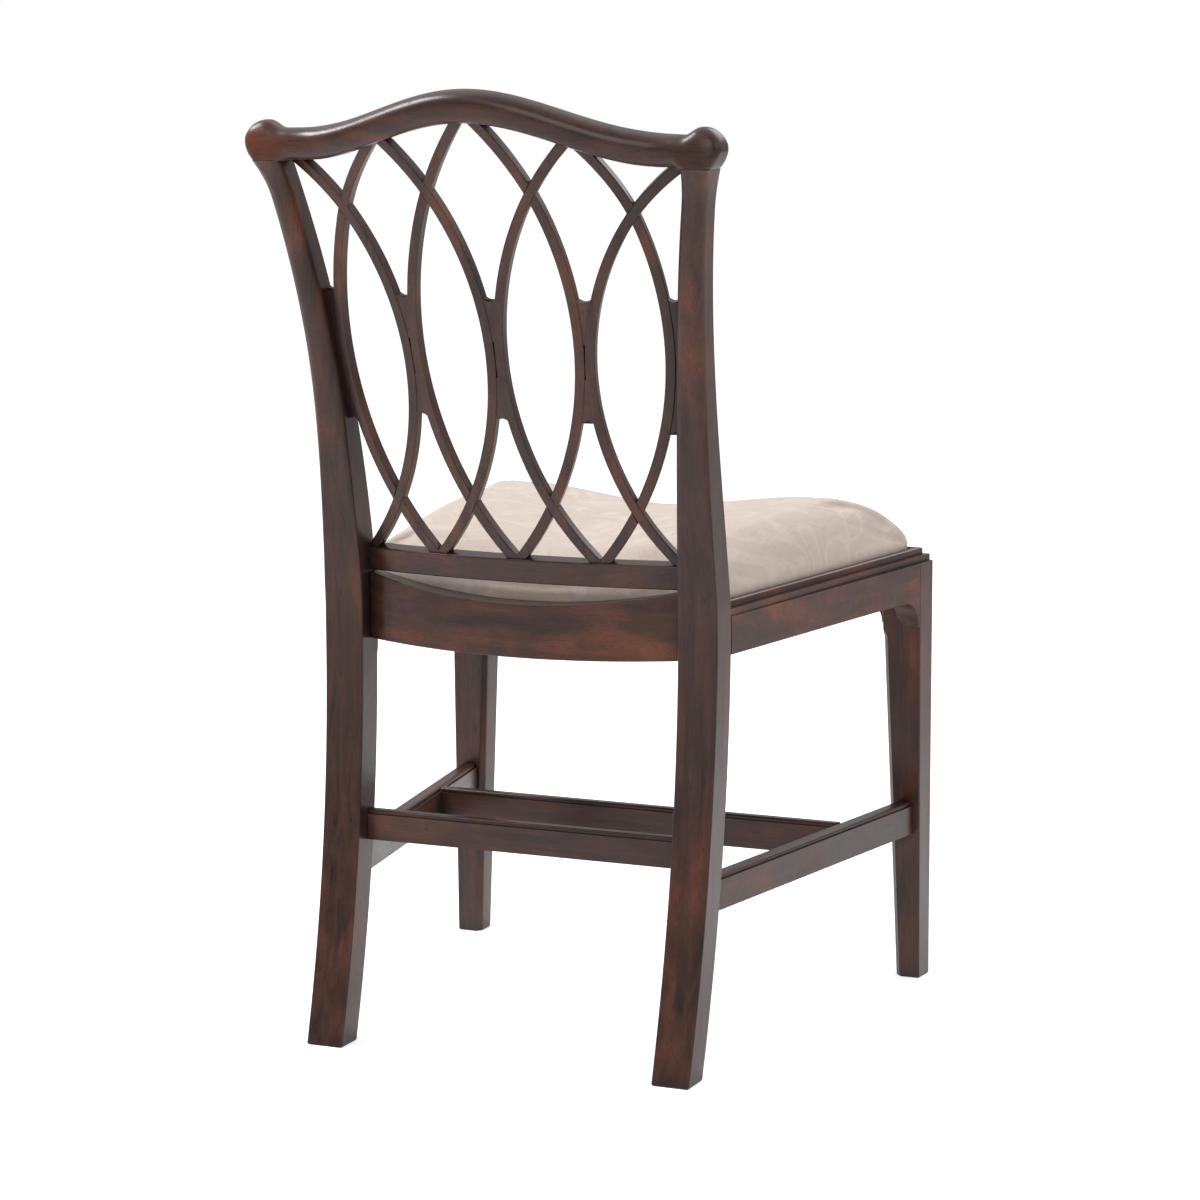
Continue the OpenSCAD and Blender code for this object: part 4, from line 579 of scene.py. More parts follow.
class Workshop:
    """Keeps the built materials and puts finished pieces on their bodies."""

    crease: float = 28.0
    shortest: float = 2.2
    weld: float = 0.00002
    flat_angle: float = 0.6
    segments: int = 3
    normal_weight: int = 60
    eased_angle: float = 35.0
    leg_angle: float = 50.0

    def __init__(self, shift_y: float) -> None:
        """Starts with no materials.

        Args:
            shift_y: How far back the rear legs' rear faces at the seat stand in the frame, in mm.
        """
        self.shift_y = shift_y
        self.materials: dict[str, bpy.types.Material] = {}

    def material(self, finish: Finish) -> bpy.types.Material:
        """The finish's material, built on first use.

        Args:
            finish: The finish.

        Returns:
            The built material.
        """
        if finish.name not in self.materials:
            self.materials[finish.name] = finish.build()
        return self.materials[finish.name]

    @staticmethod
    def link(name: str, data: bpy.types.ID) -> Piece:
        """Object of a mesh, a camera or a light, linked to the scene.

        Args:
            name: Name of the object.
            data: What the object holds.

        Returns:
            The new object.
        """
        piece = bpy.data.objects.new(name, data)
        bpy.context.scene.collection.objects.link(piece)
        return piece

    def shaped(self, name: str, mesh: bmesh.types.BMesh) -> Piece:
        """Object of an edit mesh, which is used up.

        Args:
            name: Name of the object.
            mesh: The edit mesh.

        Returns:
            The new object.
        """
        data = bpy.data.meshes.new(name)
        mesh.to_mesh(data)
        mesh.free()
        return self.link(name, data)

    def loft(self, name: str, rings: Sequence[Ring]) -> Piece:
        """Closed mesh between rings of points.

        Args:
            name: Name of the object.
            rings: Rings of equal length in mm, each counter-clockwise seen from the last ring.

        Returns:
            The object, in metres and in its place.
        """
        mesh = bmesh.new()
        grid = [[mesh.verts.new((x * MM, (y + self.shift_y) * MM, z * MM)) for x, y, z in ring]
                for ring in rings]
        count = len(grid[0])
        for low, high in zip(grid, grid[1:]):
            for j in range(count):
                k = (j + 1) % count
                mesh.faces.new((low[j], low[k], high[k], high[j]))
        mesh.faces.new(list(reversed(grid[0])))
        mesh.faces.new(grid[-1])
        return self.shaped(name, mesh)

    @staticmethod
    def shade(piece: Piece, angle: float) -> None:
        """Smooth shading, with edges over an angle in degrees kept sharp."""
        piece.data.shade_smooth()
        piece.data.set_sharp_from_angle(angle=math.radians(angle))

    def weigh(self, piece: Piece) -> None:
        """Keeps broad faces flat beside their eased arrises.

        Args:
            piece: The piece, changed in place.
        """
        modifier = piece.modifiers.new("flat_faces", "WEIGHTED_NORMAL")
        modifier.keep_sharp = True
        modifier.weight = self.normal_weight

    @staticmethod
    def bake_down(piece: Piece) -> None:
        """Applies all of a piece's modifiers.

        Args:
            piece: The piece, changed in place.
        """
        bpy.context.view_layer.update()
        shape = bpy.data.meshes.new_from_object(piece.evaluated_get(bpy.context.evaluated_depsgraph_get()))
        piece.modifiers.clear()
        old = piece.data
        piece.data = shape
        bpy.data.meshes.remove(old)

    def eased(self, node: str, width: float) -> Piece:
        """Copy of a CAD node as a new object with its arrises rounded.

        Args:
            node: Name of the CAD node.
            width: Width of the rounding in mm.

        Returns:
            The new object.
        """
        mesh = bmesh.new()
        mesh.from_mesh(bpy.data.objects[node].data)
        bmesh.ops.remove_doubles(mesh, verts=mesh.verts, dist=self.weld)
        bmesh.ops.dissolve_limit(mesh, angle_limit=math.radians(self.flat_angle), verts=mesh.verts,
                                 edges=mesh.edges)
        sharp = [e for e in mesh.edges if len(e.link_faces) == 2 and e.calc_length() > self.shortest * MM
                 and e.calc_face_angle(0.0) > math.radians(self.crease)]
        bmesh.ops.bevel(mesh, geom=sharp, offset=width * MM, offset_type="OFFSET", segments=self.segments,
                        profile=0.5, affect="EDGES", clamp_overlap=True)
        bmesh.ops.recalc_face_normals(mesh, faces=mesh.faces)
        piece = self.shaped(node + "_piece", mesh)
        self.shade(piece, self.eased_angle)
        self.weigh(piece)
        return piece

    def place(self, piece: Piece, finish: Finish, slot: str, body: Body, *nodes: str) -> None:
        """Dresses a piece and puts it on its body.

        Args:
            piece: The finished shape.
            finish: The finish that it gets.
            slot: The record's material slot; not used.
            body: The body that it rides on.
            *nodes: The CAD nodes that it stands for.
        """
        piece.data.materials.clear()
        piece.data.materials.append(self.material(finish))
        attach(piece, body.value)
        if nodes:
            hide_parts(*nodes)
        LOG.info("%s: %d faces, %s", piece.name, len(piece.data.polygons), finish.name)

    def place_wood(self, piece: Piece, slot: str, grain: Grain, node: str) -> None:
        """Puts a mahogany piece, in the tone of its slot, on the frame.

        Args:
            piece: The finished shape.
            slot: The record's material slot, which names the tone.
            grain: The way its grain runs.
            node: The CAD node that it stands for.
        """
        self.place(piece, Mahogany(slot, grain, STAINS[slot]), slot, Body.FRAME, node)

    def place_pair(self, stem: str, rings: Sequence[Ring]) -> None:
        """Makes the left and the right leg of a pair.

        Args:
            stem: Start of the two nodes' names.
            rings: Rings of the left one.
        """
        for side in Side:
            node = f"{stem}_{side.name.lower()}"
            piece = self.loft(node + "_piece", rings if side is Side.LEFT else mirrored(rings))
            self.shade(piece, self.leg_angle)
            self.weigh(piece)
            self.place_wood(piece, "mahogany_dark", Grain.UPRIGHT, node)

    def paint(self, node: str, finish: Finish) -> None:
        """Gives a CAD node that stays its finish.

        Args:
            node: Name of the CAD node.
            finish: The finish.
        """
        data = bpy.data.objects[node].data
        data.materials.clear()
        data.materials.append(self.material(finish))
        LOG.info("%s: %s", node, finish.name)


def mirrored(rings: Sequence[Ring]) -> list[Ring]:
    """Rings reflected to the other side, in the order that keeps them facing outwards."""
    return [[(-x, y, z) for x, y, z in reversed(ring)] for ring in rings]


def drawn_in(ring: Ring, x: float, y: float, part: float, z: float) -> Ring:
    """Ring at a height z, its points brought a share of the way towards a middle."""
    return [(lerp(px, x, part), lerp(py, y, part), z) for px, py, _ in ring]


def rounded_section(x0: float, x1: float, y0: float, y1: float, radii: Sequence[float], chamfer: int = -1,
                    parts: int = 5) -> list[Flat]:
    """Rectangle with rounded corners, counter-clockwise from its lowest left corner.

    Args:
        x0: Lowest x.
        x1: Highest x.
        y0: Lowest y.
        y1: Highest y.
        radii: Radii of the corners, in the order of the points.
        chamfer: Number of a corner that is cut straight, or -1.
        parts: Segments of a corner.

    Returns:
        The section's points.
    """
    corners = [(x0, y0, 180.0, 1, 1), (x1, y0, 270.0, -1, 1), (x1, y1, 0.0, -1, -1), (x0, y1, 90.0, 1, -1)]
    points: list[Flat] = []
    for number, ((x, y, start, sx, sy), r) in enumerate(zip(corners, radii)):
        for k in range(parts + 1):
            t = k / parts
            if number == chamfer:
                points.append((x + r * t, y + r * (1 - t)))
            else:
                a = math.radians(start + 90 * t)
                points.append((x + sx * r + r * math.cos(a), y + sy * r + r * math.sin(a)))
    return points


@dataclass(frozen=True)
class SeatLines:
    """Sizes that the frame's members share, in mm, with y from the rear legs' rear faces at the seat."""

    frame_top_z: float = 464.0
    rail_h: float = 39.0
    front_w: float = 564.0
    rear_w: float = 439.0
    seat_depth: float = 466.0
    leg_w: float = 43.0
    leg_d: float = 38.0

    @property
    def rail_z(self) -> float:
        """Height of the rails' lower edges."""
        return self.frame_top_z - self.rail_h

    @property
    def front_y(self) -> float:
        """Front face of the front legs."""
        return -self.seat_depth


@dataclass
class RearLegs:
    """The two rear legs, each running up into a stile."""

    shop: Workshop
    lines: SeatLines
    foot_w: float = 41.0
    foot_span: float = 430.0
    foot_sweep: float = 64.0
    knee_z: float = 450.0
    back_rake: float = 100.0
    rake_h: float = 500.0
    stile_w: float = 26.5
    stile_d: float = 33.0
    stile_flare: float = 40.0
    stile_round: float = 12.0
    joint_z: float = 916.0
    stile_end: float = 36.0
    head_h: float = 38.0
    head_out: float = 3.5
    head_back: float = 5.0
    head_round: float = 7.0
    head_arris: float = 5.0
    arris: float = 2.0
    inner_chamfer: float = 4.0
    tongue_h: float = 12.0
    tongue_drop: float = 28.0
    stile_start: float = 16.0
    round_start: float = 40.0
    round_end: float = 270.0
    round_left: float = 0.4
    sweep_power: float = 2.1
    rake_power: float = 1.52
    taper_power: float = 1.6
    flare_h: float = 470.0
    flare_power: float = 2.9
    sole_h: float = 1.5
    sole_share: float = 0.06
    foot_cells: int = 48
    tongue_cells: int = 8
    stile_cells: int = 52
    head_cells: int = 12

    @property
    def stile_z0(self) -> float:
        """Height where the stile starts to narrow."""
        return self.lines.frame_top_z + self.stile_start

    @property
    def tongue_z(self) -> float:
        """Height where the inner chamfer starts to run out."""
        return self.lines.rail_z - self.tongue_drop

    def rear(self, z: float) -> float:
        """Rear face of the leg at a height.

        Args:
            z: Height in mm.

        Returns:
            The face's y in mm.
        """
        if z < self.knee_z:
            return self.foot_sweep * ((self.knee_z - z) / self.knee_z) ** self.sweep_power
        return self.back_rake * ((z - self.knee_z) / self.rake_h) ** self.rake_power

    def width(self, z: float) -> float:
        """Width of the leg at a height.

        Args:
            z: Height in mm.

        Returns:
            The width in mm.
        """
        if z < self.stile_z0:
            return lerp(self.foot_w, self.lines.leg_w, share(z, 0, self.lines.rail_z))
        fall = 1 - share(z, self.stile_z0, self.joint_z - self.stile_end)
        return self.stile_w + (self.lines.leg_w - self.stile_w) * fall ** self.taper_power

    def centre(self, z: float) -> float:
        """Middle of the leg at a height, from the middle of the chair.

        Args:
            z: Height in mm.

        Returns:
            The x of the leg's middle in mm.
        """
        low = self.foot_span / 2 - self.foot_w / 2
        high = self.lines.rear_w / 2 - self.lines.leg_w / 2
        flare = self.stile_flare * max(0.0, (z - self.stile_z0) / self.flare_h) ** self.flare_power
        return lerp(low, high, share(z, 0, self.lines.rail_z)) + flare

    def depth(self, z: float) -> float:
        """Depth of the leg at a height."""
        return lerp(self.lines.leg_d, self.stile_d, share(z, self.stile_z0, self.joint_z - self.stile_end))

    def ring(self, z: float) -> Ring:
        """Section of the left leg at a height.

        Args:
            z: Height in mm.

        Returns:
            The section's points.
        """
        w, d, x, y = self.width(z), self.depth(z), self.centre(z), self.rear(z)
        tongue = share(z, self.tongue_z, self.tongue_z + self.tongue_h)
        cut = lerp(self.inner_chamfer, self.arris, smooth(tongue))
        stile = share(z, self.stile_z0 + self.round_start, self.stile_z0 + self.round_end)
        turn = lerp(self.arris, self.stile_round, smooth(stile))
        head = share(z, self.joint_z - self.head_h, self.joint_z) ** 2
        turn = lerp(min(turn, w / 2 - self.round_left), self.head_round, head)
        radii = (cut, lerp(self.arris, self.head_arris, head), turn, turn)
        outer, back = x + w / 2 + self.head_out * head, y + self.head_back * head
        section = rounded_section(x - w / 2, outer, y - d, back, radii, chamfer=0)
        return [(px, py, z) for px, py in section]

    def build(self) -> None:
        """Makes both legs."""
        start, end = self.tongue_z, self.tongue_z + self.tongue_h
        head = self.joint_z - self.head_h
        low = steps(self.sole_h, start, self.foot_cells) + steps(start, end, self.tongue_cells)
        high = steps(end, head, self.stile_cells) + steps(head, self.joint_z, self.head_cells)
        heights = sorted(set(low + high))
        mid_y = self.rear(0.0) - self.lines.leg_d / 2
        sole = drawn_in(self.ring(0.0), self.centre(0.0), mid_y, self.sole_share, 0.0)
        self.shop.place_pair("rear_leg", [sole] + [self.ring(z) for z in heights])


@dataclass
class FrontLegs:
    """The two front legs, tapered on their inner faces."""

    shop: Workshop
    lines: SeatLines
    top_w: float = 44.5
    top_d: float = 36.0
    foot_w: float = 28.0
    chamfer: float = 6.0
    outer_splay: float = 2.0
    arris: float = 1.6
    tongue_z: float = 379.0
    tongue_h: float = 12.0
    sole_h: float = 1.5
    sole_share: float = 0.08
    head_drop: float = 0.6
    head_share: float = 0.03
    foot_cells: int = 12
    tongue_cells: int = 8

    def ring(self, z: float) -> Ring:
        """Section of the left leg at a height.

        Args:
            z: Height in mm.

        Returns:
            The section's points.
        """
        up = share(z, 0, self.lines.rail_z)
        x1 = self.lines.front_w / 2
        x0 = x1 - lerp(self.foot_w, self.top_w, up)
        y0 = self.lines.front_y
        y1 = y0 + lerp(self.foot_w, self.top_d, up)
        cut = lerp(self.chamfer, self.arris, smooth(share(z, self.tongue_z, self.tongue_z + self.tongue_h)))
        flipped = rounded_section(x0, x1, -y1, -y0, (cut, self.arris, self.arris, self.arris), chamfer=0)
        return [(px + self.outer_splay * share(px, x0, x1) * share(-py, y1, y0), -py, z)
                for px, py in reversed(flipped)]

    def build(self) -> None:
        """Makes both legs."""
        lines = self.lines
        start, end, top = self.tongue_z, self.tongue_z + self.tongue_h, lines.frame_top_z
        heights = (steps(self.sole_h, start, self.foot_cells) + steps(start, end, self.tongue_cells)[1:]
                   + [lines.rail_z, top - self.head_drop])
        half, front = lines.front_w / 2, lines.front_y
        foot = self.foot_w / 2
        sole = drawn_in(self.ring(0.0), half - foot, front + foot, self.sole_share, 0.0)
        head = drawn_in(self.ring(top), half - self.top_w / 2, front + self.top_d / 2, self.head_share, top)
        self.shop.place_pair("front_leg", [sole] + [self.ring(z) for z in heights] + [head])


@dataclass(frozen=True)
class BackSurface:
    """The surface that the trellis and the lower back rail follow, in mm."""

    z0: float = 505.0
    height: float = 455.0
    y0: float = -2.0
    lean: float = 104.0
    curl: float = 14.0
    curl_power: float = 9.0
    bow_r: float = 770.0

    def profile(self, z: float) -> float:
        """The surface's y on the middle line at a height."""
        u = (z - self.z0) / self.height
        return self.y0 + self.lean * u + self.curl * max(0.0, u) ** self.curl_power

    def slope(self, z: float) -> float:
        """Rise of y with height."""
        return (self.profile(z + 1) - self.profile(z - 1)) / 2

    def bow(self, x: float) -> float:
        """How far the surface comes forward at an x."""
        return self.bow_r - math.sqrt(self.bow_r ** 2 - x * x)

    def point(self, x: float, z: float, depth: float) -> tuple[float, float, float]:
        """Point on the surface moved forwards by a depth.

        Args:
            x: Distance from the chair's middle in mm.
            z: Height in mm.
            depth: How far in front of the surface, in mm.

        Returns:
            The point in mm.
        """
        n = Vector((x / math.sqrt(self.bow_r ** 2 - x * x), 1.0, -self.slope(z))).normalized()
        p = Vector((x, self.profile(z) - self.bow(x), z)) - depth * n
        return (p.x, p.y, p.z)


@dataclass
class CrestRail:
    """The crest rail with its two ears, one sweep from ear to ear."""

    shop: Workshop
    legs: RearLegs
    surface: BackSurface
    low_z: float = 948.5
    rise: float = 41.0
    height: float = 31.0
    depth: float = 32.0
    dip_x: float = 200.0
    middle_y: float = 110.0
    ear_x: float = 257.0
    ear_l: float = 45.4
    ear_cap: float = 21.0
    ear_rise: float = 8.0
    ear_d: float = 38.5
    flush_in: float = 50.0
    ear_back: float = 2.0
    tip_h: float = 18.0
    lean: float = 15.0
    roll: float = 0.3
    square_power: float = 2.7
    ear_power: float = 4.5
    tip_share: float = 0.06
    under_in: float = 6.0
    blend_out: float = 16.0
    top_in: float = 5.0
    top_out: float = 23.5
    neck: float = 12.0
    neck_power: float = 3.0
    tip_power: float = 1.5
    end_power: float = 0.4
    points: int = 48
    middle_cells: int = 44
    end_cells: int = 30
    end_in: float = 8.0
    sharp_angle: float = 60.0

    @property
    def ear_in_x(self) -> float:
        """Where the ear grows out of the crest."""
        return self.ear_x - self.ear_l

    @property
    def ear_y(self) -> float:
        """Middle of the ear from front to rear."""
        z = self.legs.joint_z
        return self.legs.rear(z) - self.legs.depth(z) / 2 + self.ear_back

    def top(self, x: float) -> float:
        """Top edge of the crest before the ears."""
        return self.low_z + self.rise * (1 + math.cos(math.pi * share(abs(x), 0, self.dip_x))) / 2

    def ear(self, x: float) -> float:
        """Share of the ear's underside."""
        return smooth(share(abs(x), self.ear_in_x - self.under_in, self.ear_in_x + self.blend_out))

    def flush(self, x: float) -> float:
        """Share of the ear's front and rear faces, which the crest meets flush."""
        return smooth(share(abs(x), self.ear_in_x - self.flush_in, self.ear_in_x + self.blend_out))

    def ear_top(self, x: float) -> float:
        """Share of the ear's top."""
        return smooth(share(abs(x), self.ear_in_x + self.top_in, self.ear_in_x + self.top_out))

    def dome(self, x: float) -> float:
        """Size of the ear as it closes towards its tip."""
        u = share(abs(x), self.ear_x - self.ear_cap, self.ear_x)
        return max(self.tip_share, math.sqrt(max(0.0, 1 - u * u)))

    def bottom(self, x: float) -> float:
        """Underside of the crest and the ear.

        Args:
            x: Distance from the chair's middle in mm.

        Returns:
            The height in mm.
        """
        joint = self.legs.joint_z
        rise_x = self.legs.centre(joint) + self.legs.stile_w / 2 + self.legs.head_out
        if abs(x) < rise_x:
            end = share(abs(x), rise_x - self.neck, rise_x) ** self.neck_power
            under = lerp(joint - self.neck, joint, end)
        else:
            end = share(abs(x), rise_x, self.ear_x) ** self.tip_power
            under = joint + self.tip_h * end * (1 - self.tip_share)
        return lerp(self.top(x) - self.height, under, self.ear(x))

    def ring(self, x: float) -> Ring:
        """Section at an x, counter-clockwise seen from +X.

        Args:
            x: Distance from the chair's middle in mm.

        Returns:
            The section's points.
        """
        joint = self.legs.joint_z
        e, f = self.ear(x), self.flush(x)
        ear_high = lerp(joint + self.tip_h, self.low_z + self.ear_rise, self.dome(x))
        zt = lerp(self.top(x), ear_high, self.ear_top(x))
        zb = self.bottom(x)
        zc, hz = (zt + zb) / 2, (zt - zb) / 2
        hy = lerp(self.depth, self.ear_d * self.dome(x) ** self.end_power, f) / 2
        plain = self.middle_y - self.surface.bow(x) - self.roll * (self.low_z + self.rise - self.top(x))
        y = lerp(plain, self.ear_y, f)
        tilt = math.sin(math.radians(lerp(self.lean, 0.0, f)))
        ring: Ring = []
        for k in range(self.points):
            a = 2 * math.pi * (k + 0.5) / self.points
            power = self.square_power if math.sin(a) > 0 else lerp(self.square_power, self.ear_power, e)
            p = hy * math.copysign(abs(math.cos(a)) ** (2 / power), math.cos(a))
            q = hz * math.copysign(abs(math.sin(a)) ** (2 / power), math.sin(a))
            z = zc + q - p * tilt
            if abs(x) > self.ear_in_x - self.neck:
                z = max(z, joint)
            ring.append((x, y + p + q * tilt, z))
        return ring

    def build(self) -> None:
        """Makes the crest."""
        inner = self.ear_in_x - self.end_in
        half = steps(0.0, inner, self.middle_cells)[:-1]
        half += [lerp(inner, self.ear_x, 1 - (1 - t) ** self.tip_power)
                 for t in steps(0.0, 1.0, self.end_cells)]
        stations = [-x for x in reversed(half[1:])] + half
        piece = self.shop.loft("crest_rail_piece", [self.ring(x) for x in stations])
        self.shop.shade(piece, self.sharp_angle)
        self.shop.place_wood(piece, "mahogany_dark", Grain.CROSSWISE, "crest_rail")


@dataclass(frozen=True)
class Arc:
    """One bar's arc: radius, widest x, height of the widest point, side of its bulge and curl at the top."""

    radius: float
    widest_x: float
    widest_z: float
    bulge: int
    curl: float


@dataclass(frozen=True)
class Gap:
    """One gap of the trellis: its two edges by height, its ends, and 1 or 0 for an end that is hollow."""

    left: Edge
    right: Edge
    low: float
    high: float
    hollow_low: int
    hollow_high: int


@dataclass
class Trellis:
    """Eight half-lapped bars in four ovals, with the small spacers beside them."""

    shop: Workshop
    surface: BackSurface
    crest: CrestRail
    bar_w: float = 10.5
    bar_t: float = 11.0
    arris: float = 1.3
    outer_r: float = 351.0
    facing_r: float = 274.0
    inner_r: float = 342.0
    middle_r: float = 302.5
    outer_z: float = 745.0
    facing_z: float = 701.0
    inner_z: float = 741.5
    middle_z: float = 720.5
    outer_curl: float = 12.0
    facing_curl: float = 6.6
    inner_curl: float = 2.2
    middle_curl: float = 1.3
    outer_meet_x: float = 181.0
    inner_meet_x: float = 94.7
    curl_z: float = 860.0
    curl_span: float = 76.0
    foot_z: float = 509.0
    housing: float = 6.0
    meet_gap: float = 0.2
    lap_fit: float = 0.1
    lap_over: float = 2.0
    lap_reach: float = 5.0
    mitre_gap: float = 0.08
    ring_count: int = 64
    halvings: int = 30
    top_rounds: int = 5
    sharp_angle: float = 40.0
    spacer_back: float = 1.0
    spacer_bite: float = 0.15
    spacer_reach: float = 62.0
    spacer_tip: float = 18.2
    spacer_hollow: float = 2.6
    spacer_rows: int = 10
    spacer_cells: int = 8
    stile_mid: float = 717.9
    stile_half: float = 68.0
    lap_heights: tuple[float, float, float] = (540.0, 720.0, 925.0)
    arcs: list[Arc] = field(default_factory=list)

    def __post_init__(self) -> None:
        """Sets out the four arcs of one side from the outside inwards."""
        half = self.bar_w / 2 + self.meet_gap / 2
        off = half - ((self.inner_z - self.facing_z) / 2) ** 2 / (self.inner_r + self.facing_r)
        self.arcs = [
            Arc(self.outer_r, self.outer_meet_x, self.outer_z, 1, self.outer_curl),
            Arc(self.facing_r, self.inner_meet_x + off, self.facing_z, -1, self.facing_curl),
            Arc(self.inner_r, self.inner_meet_x - off, self.inner_z, 1, self.inner_curl),
            Arc(self.middle_r, half, self.middle_z, -1, self.middle_curl),
        ]

    def x(self, arc: Arc, z: float) -> float:
        """Middle of a bar at a height.

        Args:
            arc: The bar's arc.
            z: Height in mm.

        Returns:
            The x of the bar's middle in mm.
        """
        d = z - arc.widest_z
        u = max(0.0, z - self.curl_z) / self.curl_span
        swing = arc.radius - math.sqrt(arc.radius ** 2 - d * d) + arc.curl * u * u
        return arc.widest_x - arc.bulge * swing

    def slant(self, arc: Arc, z: float) -> float:
        """Sideways lean of a bar at a height."""
        return (self.x(arc, z + 1) - self.x(arc, z - 1)) / 2

    def top_z(self, arc: Arc) -> float:
        """Height of a bar's upper end, inside the crest.

        Args:
            arc: The bar's arc.

        Returns:
            The height in mm.
        """
        z = self.crest.low_z - self.crest.height / 2
        for _ in range(self.top_rounds):
            z = self.crest.top(self.x(arc, z)) - self.crest.height
        return z + self.housing

    def ring(self, arc: Arc, z: float) -> Ring:
        """Section of a bar at a height.

        Args:
            arc: The bar's arc.
            z: Height in mm.

        Returns:
            The section's points.
        """
        q = math.atan(self.slant(arc, z))
        x = self.x(arc, z)
        h = self.bar_w / 2
        section = rounded_section(-h, h, 0.0, self.bar_t, (self.arris,) * 4, parts=3)
        return [self.surface.point(x + s * math.cos(q), z - s * math.sin(q), self.bar_t - d)
                for s, d in section]

    def crossing(self, a: Arc, b: Arc, lo: float, hi: float) -> float:
        """Height at which two arcs cross, found by halving.

        Args:
            a: One arc.
            b: The other arc.
            lo: A height below the crossing in mm.
            hi: A height above the crossing in mm.

        Returns:
            The height in mm.
        """
        for _ in range(self.halvings):
            mid = (lo + hi) / 2
            if (self.x(a, lo) - self.x(b, lo)) * (self.x(a, mid) - self.x(b, mid)) <= 0:
                hi = mid
            else:
                lo = mid
        return (lo + hi) / 2

    def lap(self, piece: Piece, other: Arc, z: float, rear_half: bool, mirror: bool) -> None:
        """Cuts the half lap for the other bar out of a piece.

        Args:
            piece: The bar that is cut.
            other: The arc that crosses it.
            z: Height of the crossing.
            rear_half: Whether the rear half is cut away.
            mirror: Whether the piece stands on the right side.
        """
        x = self.x(other, z)
        p = Vector(self.surface.point(x, z, self.bar_t / 2))
        rake = math.atan(self.surface.slope(z))
        bow = math.asin(x / self.surface.bow_r)
        lean = math.atan(self.slant(other, z) * math.cos(rake))
        w = self.bar_w + 2 * self.lap_fit
        depth, reach = self.bar_t + self.lap_over, self.lap_reach * self.bar_w
        y_lo = 0.0 if rear_half else -depth
        turn = (Matrix.Rotation(-bow, 4, "Z") @ Matrix.Rotation(-rake, 4, "X")
                @ Matrix.Rotation(lean, 4, "Y"))
        matrix = Matrix.Translation(Vector((p.x, p.y + self.shop.shift_y, p.z)) * MM) @ turn
        if mirror:
            matrix = Matrix.Scale(-1, 4, Vector((1, 0, 0))) @ matrix
        block = bmesh.new()
        bmesh.ops.create_cube(block, size=1.0)
        size = Matrix.Diagonal((w * MM, depth * MM, reach * MM, 1.0))
        middle = Matrix.Translation((0.0, (y_lo + depth / 2) * MM, 0.0))
        bmesh.ops.transform(block, matrix=matrix @ middle @ size, verts=block.verts)
        bmesh.ops.recalc_face_normals(block, faces=block.faces)
        cutter = self.shop.shaped("lap_block", block)
        data = cutter.data
        modifier = piece.modifiers.new("lap", "BOOLEAN")
        modifier.operation = "DIFFERENCE"
        modifier.solver = "EXACT"
        modifier.object = cutter
        self.shop.bake_down(piece)
        bpy.data.objects.remove(cutter)
        bpy.data.meshes.remove(data)

    def mitre(self, piece: Piece, number: int, mirror: bool) -> None:
        """Cuts the ends of bars that meet on one upright plane.

        Args:
            piece: The piece, changed in place.
            number: Number of the bar, counted from the outside inwards.
            mirror: Whether the bar stands on the right side.
        """
        outer, middle = self.arcs[0], self.arcs[3]
        foot_x = (self.x(outer, self.foot_z) + self.x(middle, self.foot_z)) / 2
        high = self.top_z(outer)
        top_x = (self.x(outer, high) + self.x(middle, self.top_z(middle))) / 2
        lines = {0: (foot_x, top_x, 1), 2: (0.0, 0.0, 1), 3: (foot_x, top_x, -1)}
        if number not in lines:
            return
        x0, x1, keep = lines[number]
        sign = -1 if mirror else 1
        low = Vector((sign * x0, 0.0, self.foot_z)) * MM
        up = Vector((sign * x1, 0.0, high)) * MM
        normal = (up - low).cross(Vector((0.0, 1.0, 0.0))).normalized()
        if normal.x * sign * keep > 0:
            normal = -normal
        low.x += sign * keep * self.mitre_gap * MM
        mesh = bmesh.new()
        mesh.from_mesh(piece.data)
        bmesh.ops.bisect_plane(mesh, geom=mesh.verts[:] + mesh.edges[:] + mesh.faces[:], dist=1e-7,
                               plane_co=low, plane_no=normal, clear_outer=True)
        bmesh.ops.holes_fill(mesh, edges=[e for e in mesh.edges if e.is_boundary], sides=0)
        bmesh.ops.recalc_face_normals(mesh, faces=mesh.faces)
        mesh.to_mesh(piece.data)
        mesh.free()

    def build_bar(self, number: int, side: Side) -> None:
        """Makes one bar; numbers 0 to 3 run from the outside inwards.

        Args:
            number: Number of the bar, counted from the outside inwards.
            side: The side on which it stands.
        """
        arc = self.arcs[number]
        mate = self.arcs[number + 1 if number % 2 == 0 else number - 1]
        rings = [self.ring(arc, z) for z in steps(self.foot_z, self.top_z(arc), self.ring_count)]
        mirror = side is Side.RIGHT
        node = f"trellis_bar_{number + 1 if mirror else number + 5}"
        piece = self.shop.loft(node + "_piece", mirrored(rings) if mirror else rings)
        low, mid, high = self.lap_heights
        self.mitre(piece, number, mirror)
        for lo, hi in ((low, mid), (mid, high)):
            self.lap(piece, mate, self.crossing(arc, mate, lo, hi), number % 2 == 0, mirror)
        self.shop.shade(piece, self.sharp_angle)
        self.shop.weigh(piece)
        self.shop.place_wood(piece, "mahogany_red", Grain.UPRIGHT, node)

    def edge(self, arc: Arc, z: float, side: int) -> float:
        """Edge of a bar at a height, on its lower or higher side."""
        half = self.bar_w / 2 / math.cos(math.atan(self.slant(arc, z)))
        return self.x(arc, z) + side * (half - self.spacer_bite)

    def stile_face(self, z: float) -> float:
        """Inner face of the stile at a height."""
        legs = self.crest.legs
        return legs.centre(z) - legs.width(z) / 2 + self.spacer_bite

